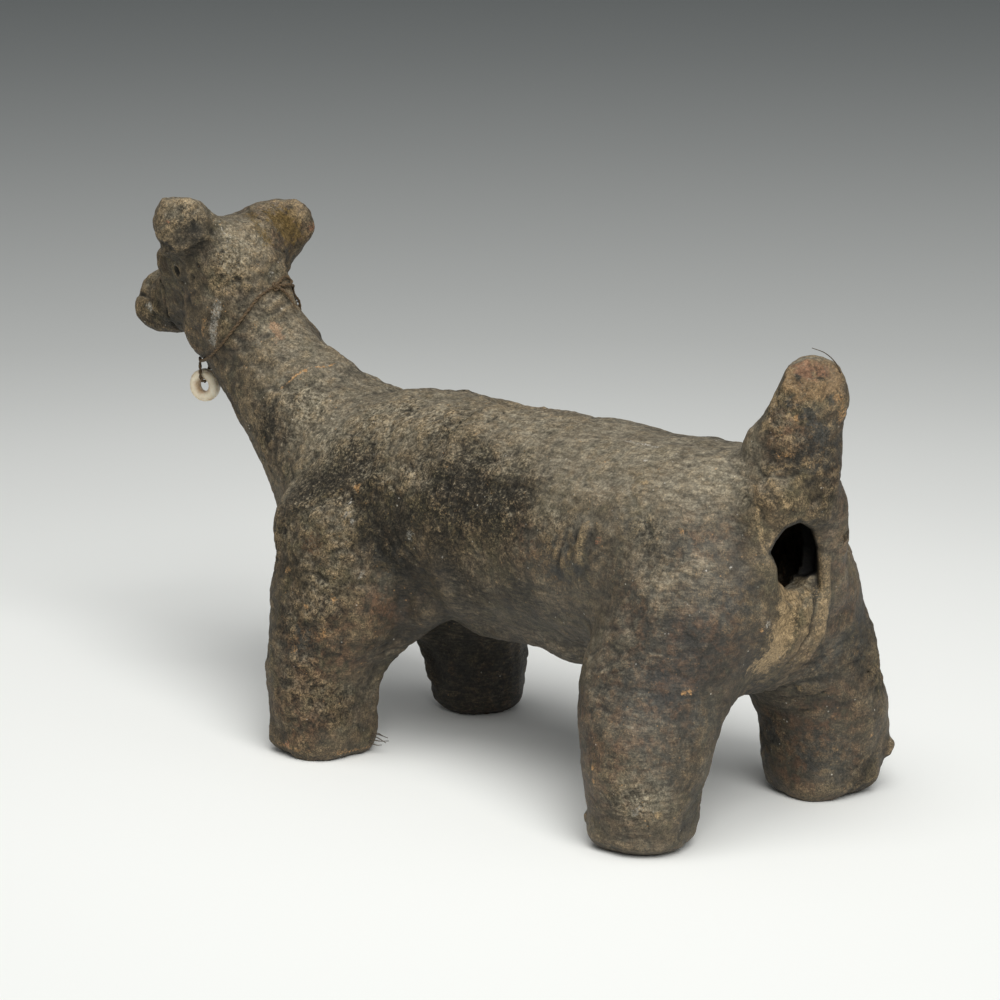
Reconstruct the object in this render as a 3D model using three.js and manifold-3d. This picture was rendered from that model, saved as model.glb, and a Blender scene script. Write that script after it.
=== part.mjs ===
// Hand-built clay dog: a hollow barrel body of two halves, with legs, neck, head, muzzle, ears and tail
// made as separate lumps and luted on, and a tied neck cord on which one ring bead of shell hangs.
// Millimetres, +Z up, nose towards +X, the dog's left towards +Y, soles on Z = 0.
import * as THREE from "three";
import { mergeVertices } from "three/addons/utils/BufferGeometryUtils.js";
import Module from "manifold-3d";

const wasm = await Module();
wasm.setup();

// Joints between lumps
const SEAM = 0.3; // gap left between two lumps of clay

// Stance
const WHEELBASE = 152; // front sole centre to hind sole centre
const FRONT_TRACK = 77; // sole centre to sole centre across
const HIND_TRACK = 87;
const BACK_HEIGHT = 123; // top of the back above the floor

// Torso
const TORSO_HEIGHT = 76;
const CHEST_WIDTH = 78;
const CHEST_TAPER = 4; // chest narrower above the front soles than at its widest
const WAIST_WIDTH = 76;
const RUMP_WIDTH = 78;
const HAUNCH_SWELL = 2; // rump wider ahead of the haunches
const CHEST_OVERHANG = 34; // chest ahead of the front soles
const RUMP_OVERHANG = 25; // rump behind the hind soles
const CHEST_FLAT = 0.15; // part of the section that is left at the end of the chest
const RUMP_FLAT = 0.3;
const WALL = 9; // clay wall of the hollow torso
const WAIST_SEAM_X = 22; // where the two halves of the torso meet
const VENT_WIDTH = 17; // firing vent under the tail
const VENT_HEIGHT = 22;
const VENT_DROP = 35; // vent's middle below the back

// Legs
const FRONT_SOLE_RADIUS = 17;
const FRONT_KNEE_RADIUS = 19;
const SHOULDER_RADIUS = 27;
const SHOULDER_SPREAD = 24; // shoulder's middle from the centre plane
const SHOULDER_BACK = 3; // shoulder's middle behind the front sole
const FORELEG_BACK = 5.5; // foreleg's middle behind the front sole
const FORELEG_SWELL = 3; // foreleg fatter than between knee and shoulder
const FORELEG_INSET = 2; // foreleg's middle nearer to the centre plane
const HIND_SOLE_RADIUS = 17.5;
const HIND_KNEE_RADIUS = 21;
const RIGHT_HOCK_SWELL = 1.5; // the hind right foot is this much fatter
const HAUNCH_RADIUS = 27;
const HAUNCH_SPREAD = 20; // haunch's middle from the centre plane
const THIGH_AHEAD = 4; // thigh's middle ahead of the hind sole
const THIGH_SWELL = 2; // thigh fatter than between knee and haunch
const KNEE_HEIGHT = 30;
const HIP_DROP = 49; // shoulder's and haunch's middle below the back
const HIP_DOME = 0.8; // height of a leg's rounded top, as a part of its radius
const SOLE_ROUNDING = 8; // height of the rounded edge above each flat sole
const SOLE_FLAT = 0.66; // part of the sole that is flat

// Head
const SKULL_AHEAD = 86; // skull's middle ahead of the front soles
const SKULL_RISE = 34.5; // skull's middle above the back
const SKULL_FRONT = 24; // skull's reach ahead of its middle
const SKULL_BACK = 20.5; // and behind it
const SKULL_WIDTH = 42;
const SKULL_HEIGHT = 35;
const BROW_TAPER = 3; // skull's half-width lost towards the muzzle
const MUZZLE_RADIUS = 11.5;
const MUZZLE_FLARE = 4.5; // muzzle fatter at the skull's middle than at the nose
const MUZZLE_REACH = 34; // muzzle's last full section ahead of the skull's middle
const MUZZLE_DROP = 20;
const MUZZLE_TIP = 10; // bulge of the nose past that section
const MUZZLE_ROOT = 6; // bulge of the muzzle's other end, inside the skull
const MOUTH_GAP = 1.6;
const MOUTH_DEPTH = 7;
const MOUTH_TILT = 19; // downwards to the lips, degrees
const EAR_LENGTH = 17;
const EAR_WIDTH = 18;
const EAR_FLARE = 4; // ear wider at its root
const EAR_TAPER = 2; // ear narrower at its tip
const EAR_THICKNESS = 18;
const EAR_SPREAD = 11; // ear root from the centre plane
const EAR_ROOT = 3; // bulge of the ear's root, inside the skull
const EAR_TIP = 4; // bulge of the ear's blunt tip
const EAR_TIP_FLAT = 0.45; // part of the tip that is flat
const LEFT_EAR_SWEEP = 4; // backwards, degrees
const RIGHT_EAR_SWEEP = 20;
const LEFT_EAR_RISE = 30; // above level, degrees
const RIGHT_EAR_RISE = 12;

// Neck: its foot grows out of the chest (ahead of the front soles, below the back, radius), and its top
// carries the skull (behind the skull's middle, below it, radius)
const NECK_FOOT = [
  [20, 37, 30],
  [39, 19, 25.5],
];
const NECK_TOP = [
  [22.4, 35.5, 20.7],
  [13, 25.5, 20.3],
  [5, 14.5, 20.5],
];
const NECK_FOOT_BULGE = 12; // rounded ends, inside the chest and the skull
const NECK_TOP_BULGE = 10;

// Tail stub
const TAIL_LENGTH = 42;
const TAIL_ROOT_RADIUS = 17;
const TAIL_TIP_RADIUS = 10.5;
const TAIL_LEAN = 10; // backwards from upright, degrees
const TAIL_ROOT_INSET = 5; // root's middle inside the rump's end
const TAIL_ROOT_SINK = 15; // root's middle below the back
const TAIL_ROOT_BULGE = 8;
const TAIL_BREAK = 3; // bulge of the broken end
const TAIL_BREAK_FLAT = 0.6; // part of the broken end that is flat

// Clay added later
const PATCH_WIDTH = 36; // sandy fill between the haunches, under the vent
const PATCH_THICKNESS = 12;
const PATCH_RISE = 25; // patch's top above the belly
const PATCH_FOOT = 2; // patch's foot above the belly
const PATCH_INSETS = [5, 8, 16]; // patch's middle inside the rump's end, from its top to its foot
const PATCH_END = 5;
const STRIP_LENGTH = 56; // thin strip smeared along the belly
const STRIP_WIDTH = 34;
const STRIP_THICKNESS = 8; // before it is trimmed to the belly
const STRIP_DROP = 2.4; // strip's face below the belly
const STRIP_END = 8;

// The neck cord's places are measured from the skull's middle.
// Ring bead
const BEAD_DIAMETER = 12;
const BEAD_HOLE = 4.4;
const BEAD_THICKNESS = 4;
const BEAD_CENTRE = [5.5, 8, -45.5];
const BEAD_YAW = 15; // bead's axis turned from +Y towards the tail, degrees

// Its two stretches round the neck, from the knot to the throat, and the short drop between them
const CORD_DIAMETER = 1.2;
const CORD_SIDES = 8;
const CORD_STEP = 3; // along a slack stretch
const BEND_STEP = 1.5; // round a tight bend
const CORD_CLEARANCE = 0.3; // to the bead
const DROP_TOP_Z = -37.3; // where the cord leaves the throat, and about which the drop swings
const CORD_LEFT = [
  [-26.8, 4.9, -9.3],
  [-26.3, 10.7, -11.8],
  [-23.6, 17.6, -18.4],
  [-18.5, 21.2, -25.8],
  [-11, 20.9, -31.7],
  [-2.7, 16.6, -34.9],
  [1.6, 13.6, -35.1],
  [4.1, 11.7, -35.3],
  [4.75, 10.8, -36.4],
];
const CORD_RIGHT = [
  [6.25, 5.2, -36.4],
  [6.4, 3.8, -35.3],
  [5.9, -1, -35.3],
  [4.2, -7.6, -35.7],
  [-1.2, -15.4, -35.3],
  [-9.3, -20.4, -32.6],
  [-17, -21.5, -27.4],
  [-22.7, -18.7, -20.1],
  [-25.9, -12.4, -13.1],
  [-27, -5.6, -9.5],
  [-27.1, 0, -8.5],
];

// Knot at the nape: a flattened lump, one bow loop over the nape and one loose end down it
const KNOT_CENTRE = [-27.7, 2.4, -8.2];
const KNOT_RADIUS = 1.9;
const KNOT_SQUEEZE = [0.85, 1.15, 0.95];
const BOW_LOOP = [
  KNOT_CENTRE,
  [-27.4, -1.5, -5.5],
  [-26, -6.3, -4.3],
  [-26.3, -10, -6.5],
  [-28.4, -8.3, -8.5],
  [-29.1, -3.6, -8.2],
  [-28, 1.6, -8.2],
];
const LOOSE_END = [
  KNOT_CENTRE,
  [-29.8, 0.4, -9.9],
  [-32, -2.6, -12.7],
  [-35, -4.2, -16.5],
  [-37.8, -4.6, -19.9],
];

const SIDES = 20; // facets round a lump
const END_RINGS = 3; // rings of a rounded end
const DOME_FLAT = 0.06; // part of the section that is left at the tip of a rounded end

const FRONT_X = WHEELBASE / 2;
const HIND_X = -WHEELBASE / 2;
const RUMP_X = HIND_X - RUMP_OVERHANG;
const TORSO_Z = BACK_HEIGHT - TORSO_HEIGHT / 2;
const BELLY_Z = BACK_HEIGHT - TORSO_HEIGHT;
const SKULL_X = FRONT_X + SKULL_AHEAD;
const SKULL_Z = BACK_HEIGHT + SKULL_RISE;
const radians = THREE.MathUtils.degToRad;
const vec = (x, y, z) => new THREE.Vector3(x, y, z);
const ACROSS = vec(0, 1, 0);
const AHEAD = vec(1, 0, 0);
const UP = vec(0, 0, 1);

// A closed skin over rings of equally many points, with the middle of the first and last ring filled in.
function skin(rings) {
  const sides = rings[0].length;
  const middle = (ring) => ring.reduce((sum, p) => sum.add(p), vec(0, 0, 0)).divideScalar(sides);
  const points = [...rings.flat(), middle(rings[0]), middle(rings.at(-1))];
  const firstMiddle = rings.length * sides;
  const lastRing = firstMiddle - sides;
  const index = [];
  for (let i = 0; i < sides; i += 1) {
    const j = (i + 1) % sides;
    index.push(firstMiddle, j, i);
    index.push(firstMiddle + 1, lastRing + i, lastRing + j);
    for (let a = 0; a < lastRing; a += sides) {
      index.push(a + i, a + j, a + sides + i);
      index.push(a + j, a + sides + j, a + sides + i);
    }
  }
  return new THREE.BufferGeometry().setFromPoints(points).setIndex(index);
}

// A lump of clay: elliptical rings along a curved spine. A station is [x, y, z, half-width, half-depth], the
// width lying along `across`. `facing` keeps all rings square to one direction. Each end swells past its
// last station by `bulge`, and `flat` is the part of the section that its end face keeps.
function lump({ stations, start, end, across = ACROSS, facing, steps = 8 }, grow = 0) {
  const spine = new THREE.CatmullRomCurve3(stations.map(([x, y, z]) => vec(x, y, z)), false, "catmullrom");
  const sizes = new THREE.CatmullRomCurve3(stations.map(([, , , a, b]) => vec(a, b, 0)), false, "catmullrom");
  const ring = (t, scale, shift) => {
    const along = facing ?? spine.getTangent(t);
    const side = across.clone().addScaledVector(along, -across.dot(along)).normalize();
    const depth = along.clone().cross(side);
    const centre = spine.getPoint(t).addScaledVector(along, shift);
    const size = sizes.getPoint(t);
    return Array.from({ length: SIDES }, (_, i) => {
      const angle = (2 * Math.PI * i) / SIDES;
      const point = centre.clone().addScaledVector(side, Math.cos(angle) * (size.x + grow) * scale);
      return point.addScaledVector(depth, Math.sin(angle) * (size.y + grow) * scale);
    });
  };
  const roundedEnd = (t, sign, { bulge, flat }) =>
    Array.from({ length: END_RINGS }, (_, k) => {
      const turn = (Math.PI / 2) * ((k + 1) / END_RINGS);
      return ring(t, flat + (1 - flat) * Math.cos(turn), sign * (bulge + grow) * Math.sin(turn));
    });
  const body = Array.from({ length: steps + 1 }, (_, k) => ring(k / steps, 1, 0));
  return skin([...roundedEnd(0, -1, start).reverse(), ...body, ...roundedEnd(1, 1, end)]);
}

const dome = (bulge) => ({ bulge, flat: DOME_FLAT });

// A tube of cord along points, with flat ends.
function tube(points, step) {
  const section = new THREE.Shape();
  section.absarc(0, 0, CORD_DIAMETER / 2, 0, 2 * Math.PI);
  const extrudePath = new THREE.CatmullRomCurve3(points.map(([x, y, z]) => vec(x, y, z)));
  const steps = Math.ceil(extrudePath.getLength() / step);
  return new THREE.ExtrudeGeometry(section, { extrudePath, steps, curveSegments: CORD_SIDES / 2 });
}

// A solid for joining and cutting, from a closed geometry.
function solidOf(geometry) {
  geometry.deleteAttribute("normal");
  geometry.deleteAttribute("uv");
  const merged = mergeVertices(geometry, 1e-4);
  const vertProperties = new Float32Array(merged.attributes.position.array);
  const triVerts = new Uint32Array(merged.index.array);
  return new wasm.Manifold(new wasm.Mesh({ numProp: 3, vertProperties, triVerts }));
}

// The largest body that is left after a cut, without loose crumbs.
function largest(solid) {
  return solid.decompose().reduce((best, next) => (next.volume() > best.volume() ? next : best));
}

// A lump cut back to a seam's width from each lump that it is luted to.
function luted(shape, ...neighbours) {
  const cut = (solid, next) => solid.subtract(solidOf(lump(next, SEAM)));
  return largest(neighbours.reduce(cut, solidOf(lump(shape))));
}

// The part of a solid between two places along X.
function slice(solid, from, to) {
  const size = to - from;
  const block = new THREE.BoxGeometry(size, size, size).translate((from + to) / 2, 0, TORSO_Z);
  return solid.intersect(solidOf(block));
}

// Torso sections from rump to chest: along the wheelbase from its middle, sag of the section's middle,
// half-height lost, and width.
const TORSO_LINE = [
  [-1 / 2, 0.5, 1, RUMP_WIDTH],
  [-1 / 4, 1.5, 0.5, RUMP_WIDTH + HAUNCH_SWELL],
  [0, 0.5, 0.5, WAIST_WIDTH],
  [1 / 4, 0, 0, CHEST_WIDTH],
  [1 / 2, 1, 2, CHEST_WIDTH - CHEST_TAPER],
];
const torso = {
  stations: TORSO_LINE.map(([share, sag, loss, width]) => {
    return [share * WHEELBASE, 0, TORSO_Z - sag, width / 2, TORSO_HEIGHT / 2 - loss];
  }),
  facing: AHEAD,
  start: { bulge: RUMP_OVERHANG, flat: RUMP_FLAT },
  end: { bulge: CHEST_OVERHANG, flat: CHEST_FLAT },
};

const VENT_Z = BACK_HEIGHT - VENT_DROP;
const vent = {
  stations: [
    [RUMP_X - WALL, 0, VENT_Z, VENT_WIDTH / 2, VENT_HEIGHT / 2],
    [HIND_X, 0, VENT_Z, VENT_WIDTH / 2, VENT_HEIGHT / 2],
  ],
  facing: AHEAD,
  start: { bulge: WALL, flat: 1 },
  end: { bulge: WALL, flat: 1 },
  steps: 1,
};

const neck = {
  stations: [
    ...NECK_FOOT.map(([ahead, below, r]) => [FRONT_X + ahead, 0, BACK_HEIGHT - below, r, r]),
    ...NECK_TOP.map(([behind, below, r]) => [SKULL_X - behind, 0, SKULL_Z - below, r, r]),
  ],
  start: dome(NECK_FOOT_BULGE),
  end: dome(NECK_TOP_BULGE),
};

const skull = {
  stations: [
    [SKULL_X - SKULL_BACK / 2, 0, SKULL_Z - 1, SKULL_WIDTH / 2 - 1, SKULL_HEIGHT / 2 - 1],
    [SKULL_X, 0, SKULL_Z, SKULL_WIDTH / 2, SKULL_HEIGHT / 2],
    [SKULL_X + SKULL_FRONT / 2, 0, SKULL_Z - 1, SKULL_WIDTH / 2 - BROW_TAPER, SKULL_HEIGHT / 2 - 2],
  ],
  start: dome(SKULL_BACK / 2),
  end: dome(SKULL_FRONT / 2),
  steps: 4,
};

// Muzzle sections: share of its reach and share of its drop.
const MUZZLE_LINE = [
  [1 / 3, 0.5],
  [2 / 3, 0.8],
  [1, 1],
];
const muzzle = {
  stations: MUZZLE_LINE.map(([reach, drop]) => {
    const radius = MUZZLE_RADIUS + MUZZLE_FLARE * (1 - reach);
    return [SKULL_X + MUZZLE_REACH * reach, 0, SKULL_Z - MUZZLE_DROP * drop, radius, radius];
  }),
  start: dome(MUZZLE_ROOT),
  end: dome(MUZZLE_TIP),
  steps: 6,
};

// The mouth, a slit across the front of the muzzle.
function mouth() {
  const slit = new THREE.BoxGeometry(2 * MOUTH_DEPTH, 4 * MUZZLE_RADIUS, MOUTH_GAP);
  const tip = SKULL_X + MUZZLE_REACH + MUZZLE_TIP;
  const lips = SKULL_Z - MUZZLE_DROP - MUZZLE_RADIUS / 2;
  return solidOf(slit.rotateY(radians(MOUTH_TILT)).translate(tip, 0, lips));
}

function ear(side, rise, sweep) {
  const out = Math.cos(radians(rise));
  const up = Math.sin(radians(rise));
  const back = Math.sin(radians(sweep));
  const station = (reach, width) => [
    SKULL_X - back * reach,
    side * (EAR_SPREAD + out * reach),
    SKULL_Z + SKULL_HEIGHT / 4 + up * reach,
    width / 2,
    EAR_THICKNESS / 2,
  ];
  return {
    stations: [
      station(0, EAR_WIDTH + EAR_FLARE),
      station(EAR_LENGTH / 2, EAR_WIDTH),
      station(EAR_LENGTH, EAR_WIDTH - EAR_TAPER),
    ],
    across: AHEAD,
    start: dome(EAR_ROOT),
    end: { bulge: EAR_TIP, flat: EAR_TIP_FLAT },
    steps: 5,
  };
}
const leftEar = ear(1, LEFT_EAR_RISE, LEFT_EAR_SWEEP);
const rightEar = ear(-1, RIGHT_EAR_RISE, RIGHT_EAR_SWEEP);

function tailStation(share) {
  const lean = radians(TAIL_LEAN);
  const radius = THREE.MathUtils.lerp(TAIL_ROOT_RADIUS, TAIL_TIP_RADIUS, share);
  const x = RUMP_X + TAIL_ROOT_INSET - Math.sin(lean) * TAIL_LENGTH * share;
  const z = BACK_HEIGHT - TAIL_ROOT_SINK + Math.cos(lean) * TAIL_LENGTH * share;
  return [x, 0, z, radius, radius];
}
const tail = {
  stations: [0, 1 / 2, 1].map(tailStation),
  start: dome(TAIL_ROOT_BULGE),
  end: { bulge: TAIL_BREAK, flat: TAIL_BREAK_FLAT },
  steps: 6,
};

function leg({ x, side, track, spread, back = 0, thighBack, swell, inset = 0, sole, knee, hip }) {
  const hipZ = BACK_HEIGHT - HIP_DROP;
  const thigh = (knee + hip) / 2 + swell;
  const thighY = side * ((track / 2 + spread) / 2 - inset);
  return {
    stations: [
      [x, (side * track) / 2, SOLE_ROUNDING, sole, sole],
      [x, (side * track) / 2, KNEE_HEIGHT, knee, knee],
      [x - thighBack, thighY, (KNEE_HEIGHT + hipZ) / 2, thigh, thigh],
      [x - back, side * spread, hipZ, hip, hip],
    ],
    facing: UP,
    start: { bulge: SOLE_ROUNDING, flat: SOLE_FLAT },
    end: dome(hip * HIP_DOME),
    steps: 8,
  };
}
const front = {
  x: FRONT_X,
  track: FRONT_TRACK,
  spread: SHOULDER_SPREAD,
  back: SHOULDER_BACK,
  thighBack: FORELEG_BACK,
  swell: FORELEG_SWELL,
  inset: FORELEG_INSET,
  sole: FRONT_SOLE_RADIUS,
  knee: FRONT_KNEE_RADIUS,
  hip: SHOULDER_RADIUS,
};
const hind = {
  x: HIND_X,
  track: HIND_TRACK,
  spread: HAUNCH_SPREAD,
  thighBack: -THIGH_AHEAD,
  swell: THIGH_SWELL,
  sole: HIND_SOLE_RADIUS,
  knee: HIND_KNEE_RADIUS,
  hip: HAUNCH_RADIUS,
};
const frontLeft = leg({ ...front, side: 1 });
const frontRight = leg({ ...front, side: -1 });
const hindLeft = leg({ ...hind, side: 1 });
const hindRight = leg({
  ...hind,
  side: -1,
  sole: HIND_SOLE_RADIUS + RIGHT_HOCK_SWELL,
  knee: HIND_KNEE_RADIUS + RIGHT_HOCK_SWELL,
});

const PATCH_HEIGHTS = [PATCH_RISE, (PATCH_RISE + PATCH_FOOT) / 2, PATCH_FOOT];
const patch = {
  stations: PATCH_HEIGHTS.map((height, k) => {
    return [RUMP_X + PATCH_INSETS[k], 0, BELLY_Z + height, PATCH_WIDTH / 2, PATCH_THICKNESS / 2];
  }),
  start: dome(PATCH_END),
  end: dome(PATCH_END),
  steps: 4,
};

const STRIP_Z = BELLY_Z - STRIP_DROP + STRIP_THICKNESS / 2;
const strip = {
  stations: [-1, 0, 1].map((share) => {
    return [(share * STRIP_LENGTH) / 2, 0, STRIP_Z, STRIP_WIDTH / 2, STRIP_THICKNESS / 2];
  }),
  facing: AHEAD,
  start: dome(STRIP_END),
  end: dome(STRIP_END),
  steps: 4,
};

// The bead, a ring of elliptical section about its own axis.
function bead() {
  const rim = (BEAD_DIAMETER - BEAD_HOLE) / 4;
  const section = new THREE.EllipseCurve(BEAD_HOLE / 2 + rim, 0, rim, BEAD_THICKNESS / 2);
  const ring = new THREE.LatheGeometry(section.getPoints(10), 24);
  return solidOf(ring.rotateZ(radians(BEAD_YAW)).translate(...BEAD_CENTRE));
}

// The drop: a narrow U of cord that passes through the bead's hole from one side to the other.
function drop() {
  const [x, y, z] = BEAD_CENTRE;
  const halfWidth = BEAD_THICKNESS / 2 + CORD_CLEARANCE + CORD_DIAMETER / 2;
  const bendZ = z + BEAD_HOLE / 2 - CORD_CLEARANCE - CORD_DIAMETER / 2 + halfWidth;
  const axis = vec(-Math.sin(radians(BEAD_YAW)), Math.cos(radians(BEAD_YAW)), 0);
  const at = (sideways, height) => vec(x, y, height).addScaledVector(axis, sideways).toArray();
  const straight = [DROP_TOP_Z, (DROP_TOP_Z + bendZ) / 2];
  const bend = Array.from({ length: 9 }, (_, k) => {
    const turn = (Math.PI * k) / 8;
    return at(halfWidth * Math.cos(turn), bendZ - halfWidth * Math.sin(turn));
  });
  const down = straight.map((height) => at(halfWidth, height));
  const up = straight.map((height) => at(-halfWidth, height)).reverse();
  return solidOf(tube([...down, ...bend, ...up], BEND_STEP));
}

function knot() {
  const ball = new THREE.SphereGeometry(KNOT_RADIUS, 12, 8).scale(...KNOT_SQUEEZE).translate(...KNOT_CENTRE);
  const loop = solidOf(tube(BOW_LOOP, BEND_STEP));
  return solidOf(ball).add(loop).add(solidOf(tube(LOOSE_END, CORD_STEP)));
}

const shell = solidOf(lump(torso)).subtract(solidOf(lump(torso, -WALL))).subtract(solidOf(lump(vent)));

const clay = new THREE.MeshStandardMaterial({ color: 0x4a4036, roughness: 0.9, metalness: 0 });
const sandyClay = new THREE.MeshStandardMaterial({ color: 0x83694a, roughness: 0.95, metalness: 0 });
const twine = new THREE.MeshStandardMaterial({ color: 0x3b2a1a, roughness: 0.85, metalness: 0 });
const shellWhite = new THREE.MeshStandardMaterial({ color: 0xd9cfb8, roughness: 0.45, metalness: 0 });

const figure = new THREE.Group();
const collar = new THREE.Group();
collar.position.set(SKULL_X, 0, SKULL_Z);
figure.add(collar);

function add(parent, name, solid, material) {
  const { vertProperties, triVerts } = solid.getMesh();
  const geometry = new THREE.BufferGeometry();
  geometry.setAttribute("position", new THREE.BufferAttribute(vertProperties, 3));
  geometry.setIndex(new THREE.BufferAttribute(triVerts, 1));
  const mesh = new THREE.Mesh(geometry, material);
  mesh.name = name;
  parent.add(mesh);
}

add(figure, "torso_front", slice(shell, WAIST_SEAM_X + SEAM / 2, WAIST_SEAM_X + WHEELBASE), clay);
add(figure, "torso_rear", slice(shell, WAIST_SEAM_X - 2 * WHEELBASE, WAIST_SEAM_X - SEAM / 2), clay);
add(figure, "neck", luted(neck, torso), clay);
add(figure, "head", luted(skull, neck), clay);
add(figure, "muzzle", largest(luted(muzzle, skull, neck).subtract(mouth())), clay);
add(figure, "ear_left", luted(leftEar, skull, neck), clay);
add(figure, "ear_right", luted(rightEar, skull, neck), clay);
add(figure, "tail", luted(tail, torso), clay);
add(figure, "leg_front_left", luted(frontLeft, torso, neck), clay);
add(figure, "leg_front_right", luted(frontRight, torso, neck), clay);
add(figure, "leg_hind_left", luted(hindLeft, torso, tail), clay);
add(figure, "leg_hind_right", luted(hindRight, torso, tail), clay);
add(figure, "rump_patch", luted(patch, torso, hindLeft, hindRight), sandyClay);
add(figure, "belly_strip", luted(strip, torso, frontLeft, frontRight, hindLeft, hindRight), clay);
add(collar, "cord_left", solidOf(tube(CORD_LEFT, CORD_STEP)), twine);
add(collar, "cord_right", solidOf(tube(CORD_RIGHT, CORD_STEP)), twine);
add(collar, "cord_drop", drop(), twine);
add(collar, "cord_knot", knot(), twine);
add(collar, "shell_bead", bead(), shellWhite);

// The origin lies on the floor under the middle of the figure.
const box = new THREE.Box3().setFromObject(figure);
const middle = box.getCenter(vec(0, 0, 0));
figure.position.set(-middle.x, -middle.y, -box.min.z);

export default figure;
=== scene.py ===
"""Looks of a hand-built clay dog with a tied neck cord and one ring bead of shell.

The clay lumps of the frame are melted into one skin, roughened, pitted and cracked as a volume, and cut
apart again along their seams, so that each lump stays a closed piece of its own. Lengths inside the script
are millimetres in the frame's axes, and become metres where a mesh is made.
"""
import itertools
import math
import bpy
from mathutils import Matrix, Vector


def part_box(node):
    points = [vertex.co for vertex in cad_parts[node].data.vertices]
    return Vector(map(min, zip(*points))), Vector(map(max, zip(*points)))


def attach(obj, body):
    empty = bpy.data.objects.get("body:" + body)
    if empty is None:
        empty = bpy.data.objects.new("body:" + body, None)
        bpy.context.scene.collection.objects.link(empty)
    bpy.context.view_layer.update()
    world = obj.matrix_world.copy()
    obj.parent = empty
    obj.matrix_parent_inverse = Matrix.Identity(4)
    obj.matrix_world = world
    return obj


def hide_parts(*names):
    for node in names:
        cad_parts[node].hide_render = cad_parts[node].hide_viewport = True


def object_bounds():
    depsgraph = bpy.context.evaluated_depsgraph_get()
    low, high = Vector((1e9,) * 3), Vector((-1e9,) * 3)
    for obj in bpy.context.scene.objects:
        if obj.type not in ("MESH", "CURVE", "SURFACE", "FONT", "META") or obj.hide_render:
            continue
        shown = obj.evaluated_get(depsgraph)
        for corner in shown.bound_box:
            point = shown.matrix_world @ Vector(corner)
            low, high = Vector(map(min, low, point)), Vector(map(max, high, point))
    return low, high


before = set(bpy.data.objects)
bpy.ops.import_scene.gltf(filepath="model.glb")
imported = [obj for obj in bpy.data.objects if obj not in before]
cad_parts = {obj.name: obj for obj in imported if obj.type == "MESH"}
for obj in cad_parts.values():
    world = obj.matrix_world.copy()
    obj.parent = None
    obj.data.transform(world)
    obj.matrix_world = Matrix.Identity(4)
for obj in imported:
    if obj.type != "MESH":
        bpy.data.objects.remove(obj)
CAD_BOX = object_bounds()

from concurrent.futures import ThreadPoolExecutor
from functools import partial

import bpy
import numpy as np
import openvdb as vdb
from mathutils import Matrix, Vector

MM = 0.001
WORKERS = ThreadPoolExecutor(4)
CHUNK = 50000  # points worked on at a time
SLABS = 8  # slabs that a volume is blurred in
TINY = 1e-9
COLOUR_A = 6  # sockets of Blender's Mix node when it mixes colours
COLOUR_B = 7
COLOUR_RESULT = 2

# Numbers that stir the noise's lattice
HASH_STEPS = (374761393, 668265263, 1440662683)
HASH_SEED_STEP = 97
HASH_STIR = 1274126177
WORD = 0xFFFFFFFF
SEED_SHIFT = 7.31
NOISE_GAIN = 1.6

# Camera, as fitted to the four feet in the photograph
CAMERA_PLACE = np.array([-813.33, 836.59, 333.95])
CAMERA_AZIMUTH = 223.574
CAMERA_ELEVATION = 12.0
FOCAL_PIXELS = 3500.0
IMAGE_PIXELS = 1000
SENSOR_WIDTH = 36.0
CLIP_END = 50
SIGHT_STEPS = 200
LEAST_STEP = 0.02
TOUCH = 0.05  # closer than this a line of sight has met the skin
SETTLING_STEPS = 3  # passes that bring a point or a cord onto the skin

# Volume in which the clay is worked
VOXEL = 0.7
BAND = 10  # voxels of distance known on each side of a lump's face
MARGIN = 9.0
FILLET = 3.2  # how far two lumps flow into each other
SMOOTHING = 2.4  # half-width of the blur that takes the facets away
CRISP_SMOOTHING = 0.7  # the same where broken ends keep their edges
SKIN = 2.2  # depth on each side of the skin in which it is roughened
OVERLAP = 0.8  # how far a piece reaches under its neighbour
DIVE = 0.25  # how deep it lies there
MESH_BAND = 2.0  # distance kept on each side of a face where it is meshed
CUT_EDGE = 0.6  # rounding along a cut
DAUB_EDGE = 1.6  # rounding where added clay meets the skin

CLAY_NODES = [
    "torso_front", "torso_rear", "neck", "head", "muzzle", "ear_left", "ear_right", "tail",
    "leg_front_left", "leg_front_right", "leg_hind_left", "leg_hind_right", "belly_strip", "rump_patch",
]

# Neck cord: its route from the skull's middle, as in the construction
CORD_RADIUS = 0.6
CORD_LIFT = 0.9  # cord's middle above the clay
KNOT_LIFT = 2.0  # how much higher the knot sits on the nape
BOW_SCALE = 0.65  # bow as drawn tight
LOOSE_SCALE = 0.5
KNOT_RADIUS = 1.5
KNOT_CORD_RADIUS = 0.5
KNOT_RISE = 0.5  # knot's middle above the cord's
CORD_STEP = 0.3  # distance between a cord's rings
PLY_PITCH = 4.2  # length of one turn of the twist
HELD_LENGTH = 6.0  # how far from a held end the cord comes to lie on the clay
FRAYED_ENDS = 5
FRAY_RADIUS = 0.13
BEAD_CENTRE = (5.5, 8, -45.5)
BEAD_DIAMETER = 12.0
BEAD_HOLE = 4.4
BEAD_THICKNESS = 4.0
BEAD_FLATNESS = 0.8  # 1 is a round section, less is flatter
BEAD_YAW = 15.0
DROP_TOP_Z = -37.3
DROP_CLEARANCE = 0.3
CORD_LEFT = [
    (-26.8, 4.9, -9.3), (-26.3, 10.7, -11.8), (-23.6, 17.6, -18.4), (-18.5, 21.2, -25.8),
    (-11, 20.9, -31.7),
    (-2.7, 16.6, -34.9), (1.6, 13.6, -35.1), (4.1, 11.7, -35.3), (4.75, 10.8, -36.4),
]
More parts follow.
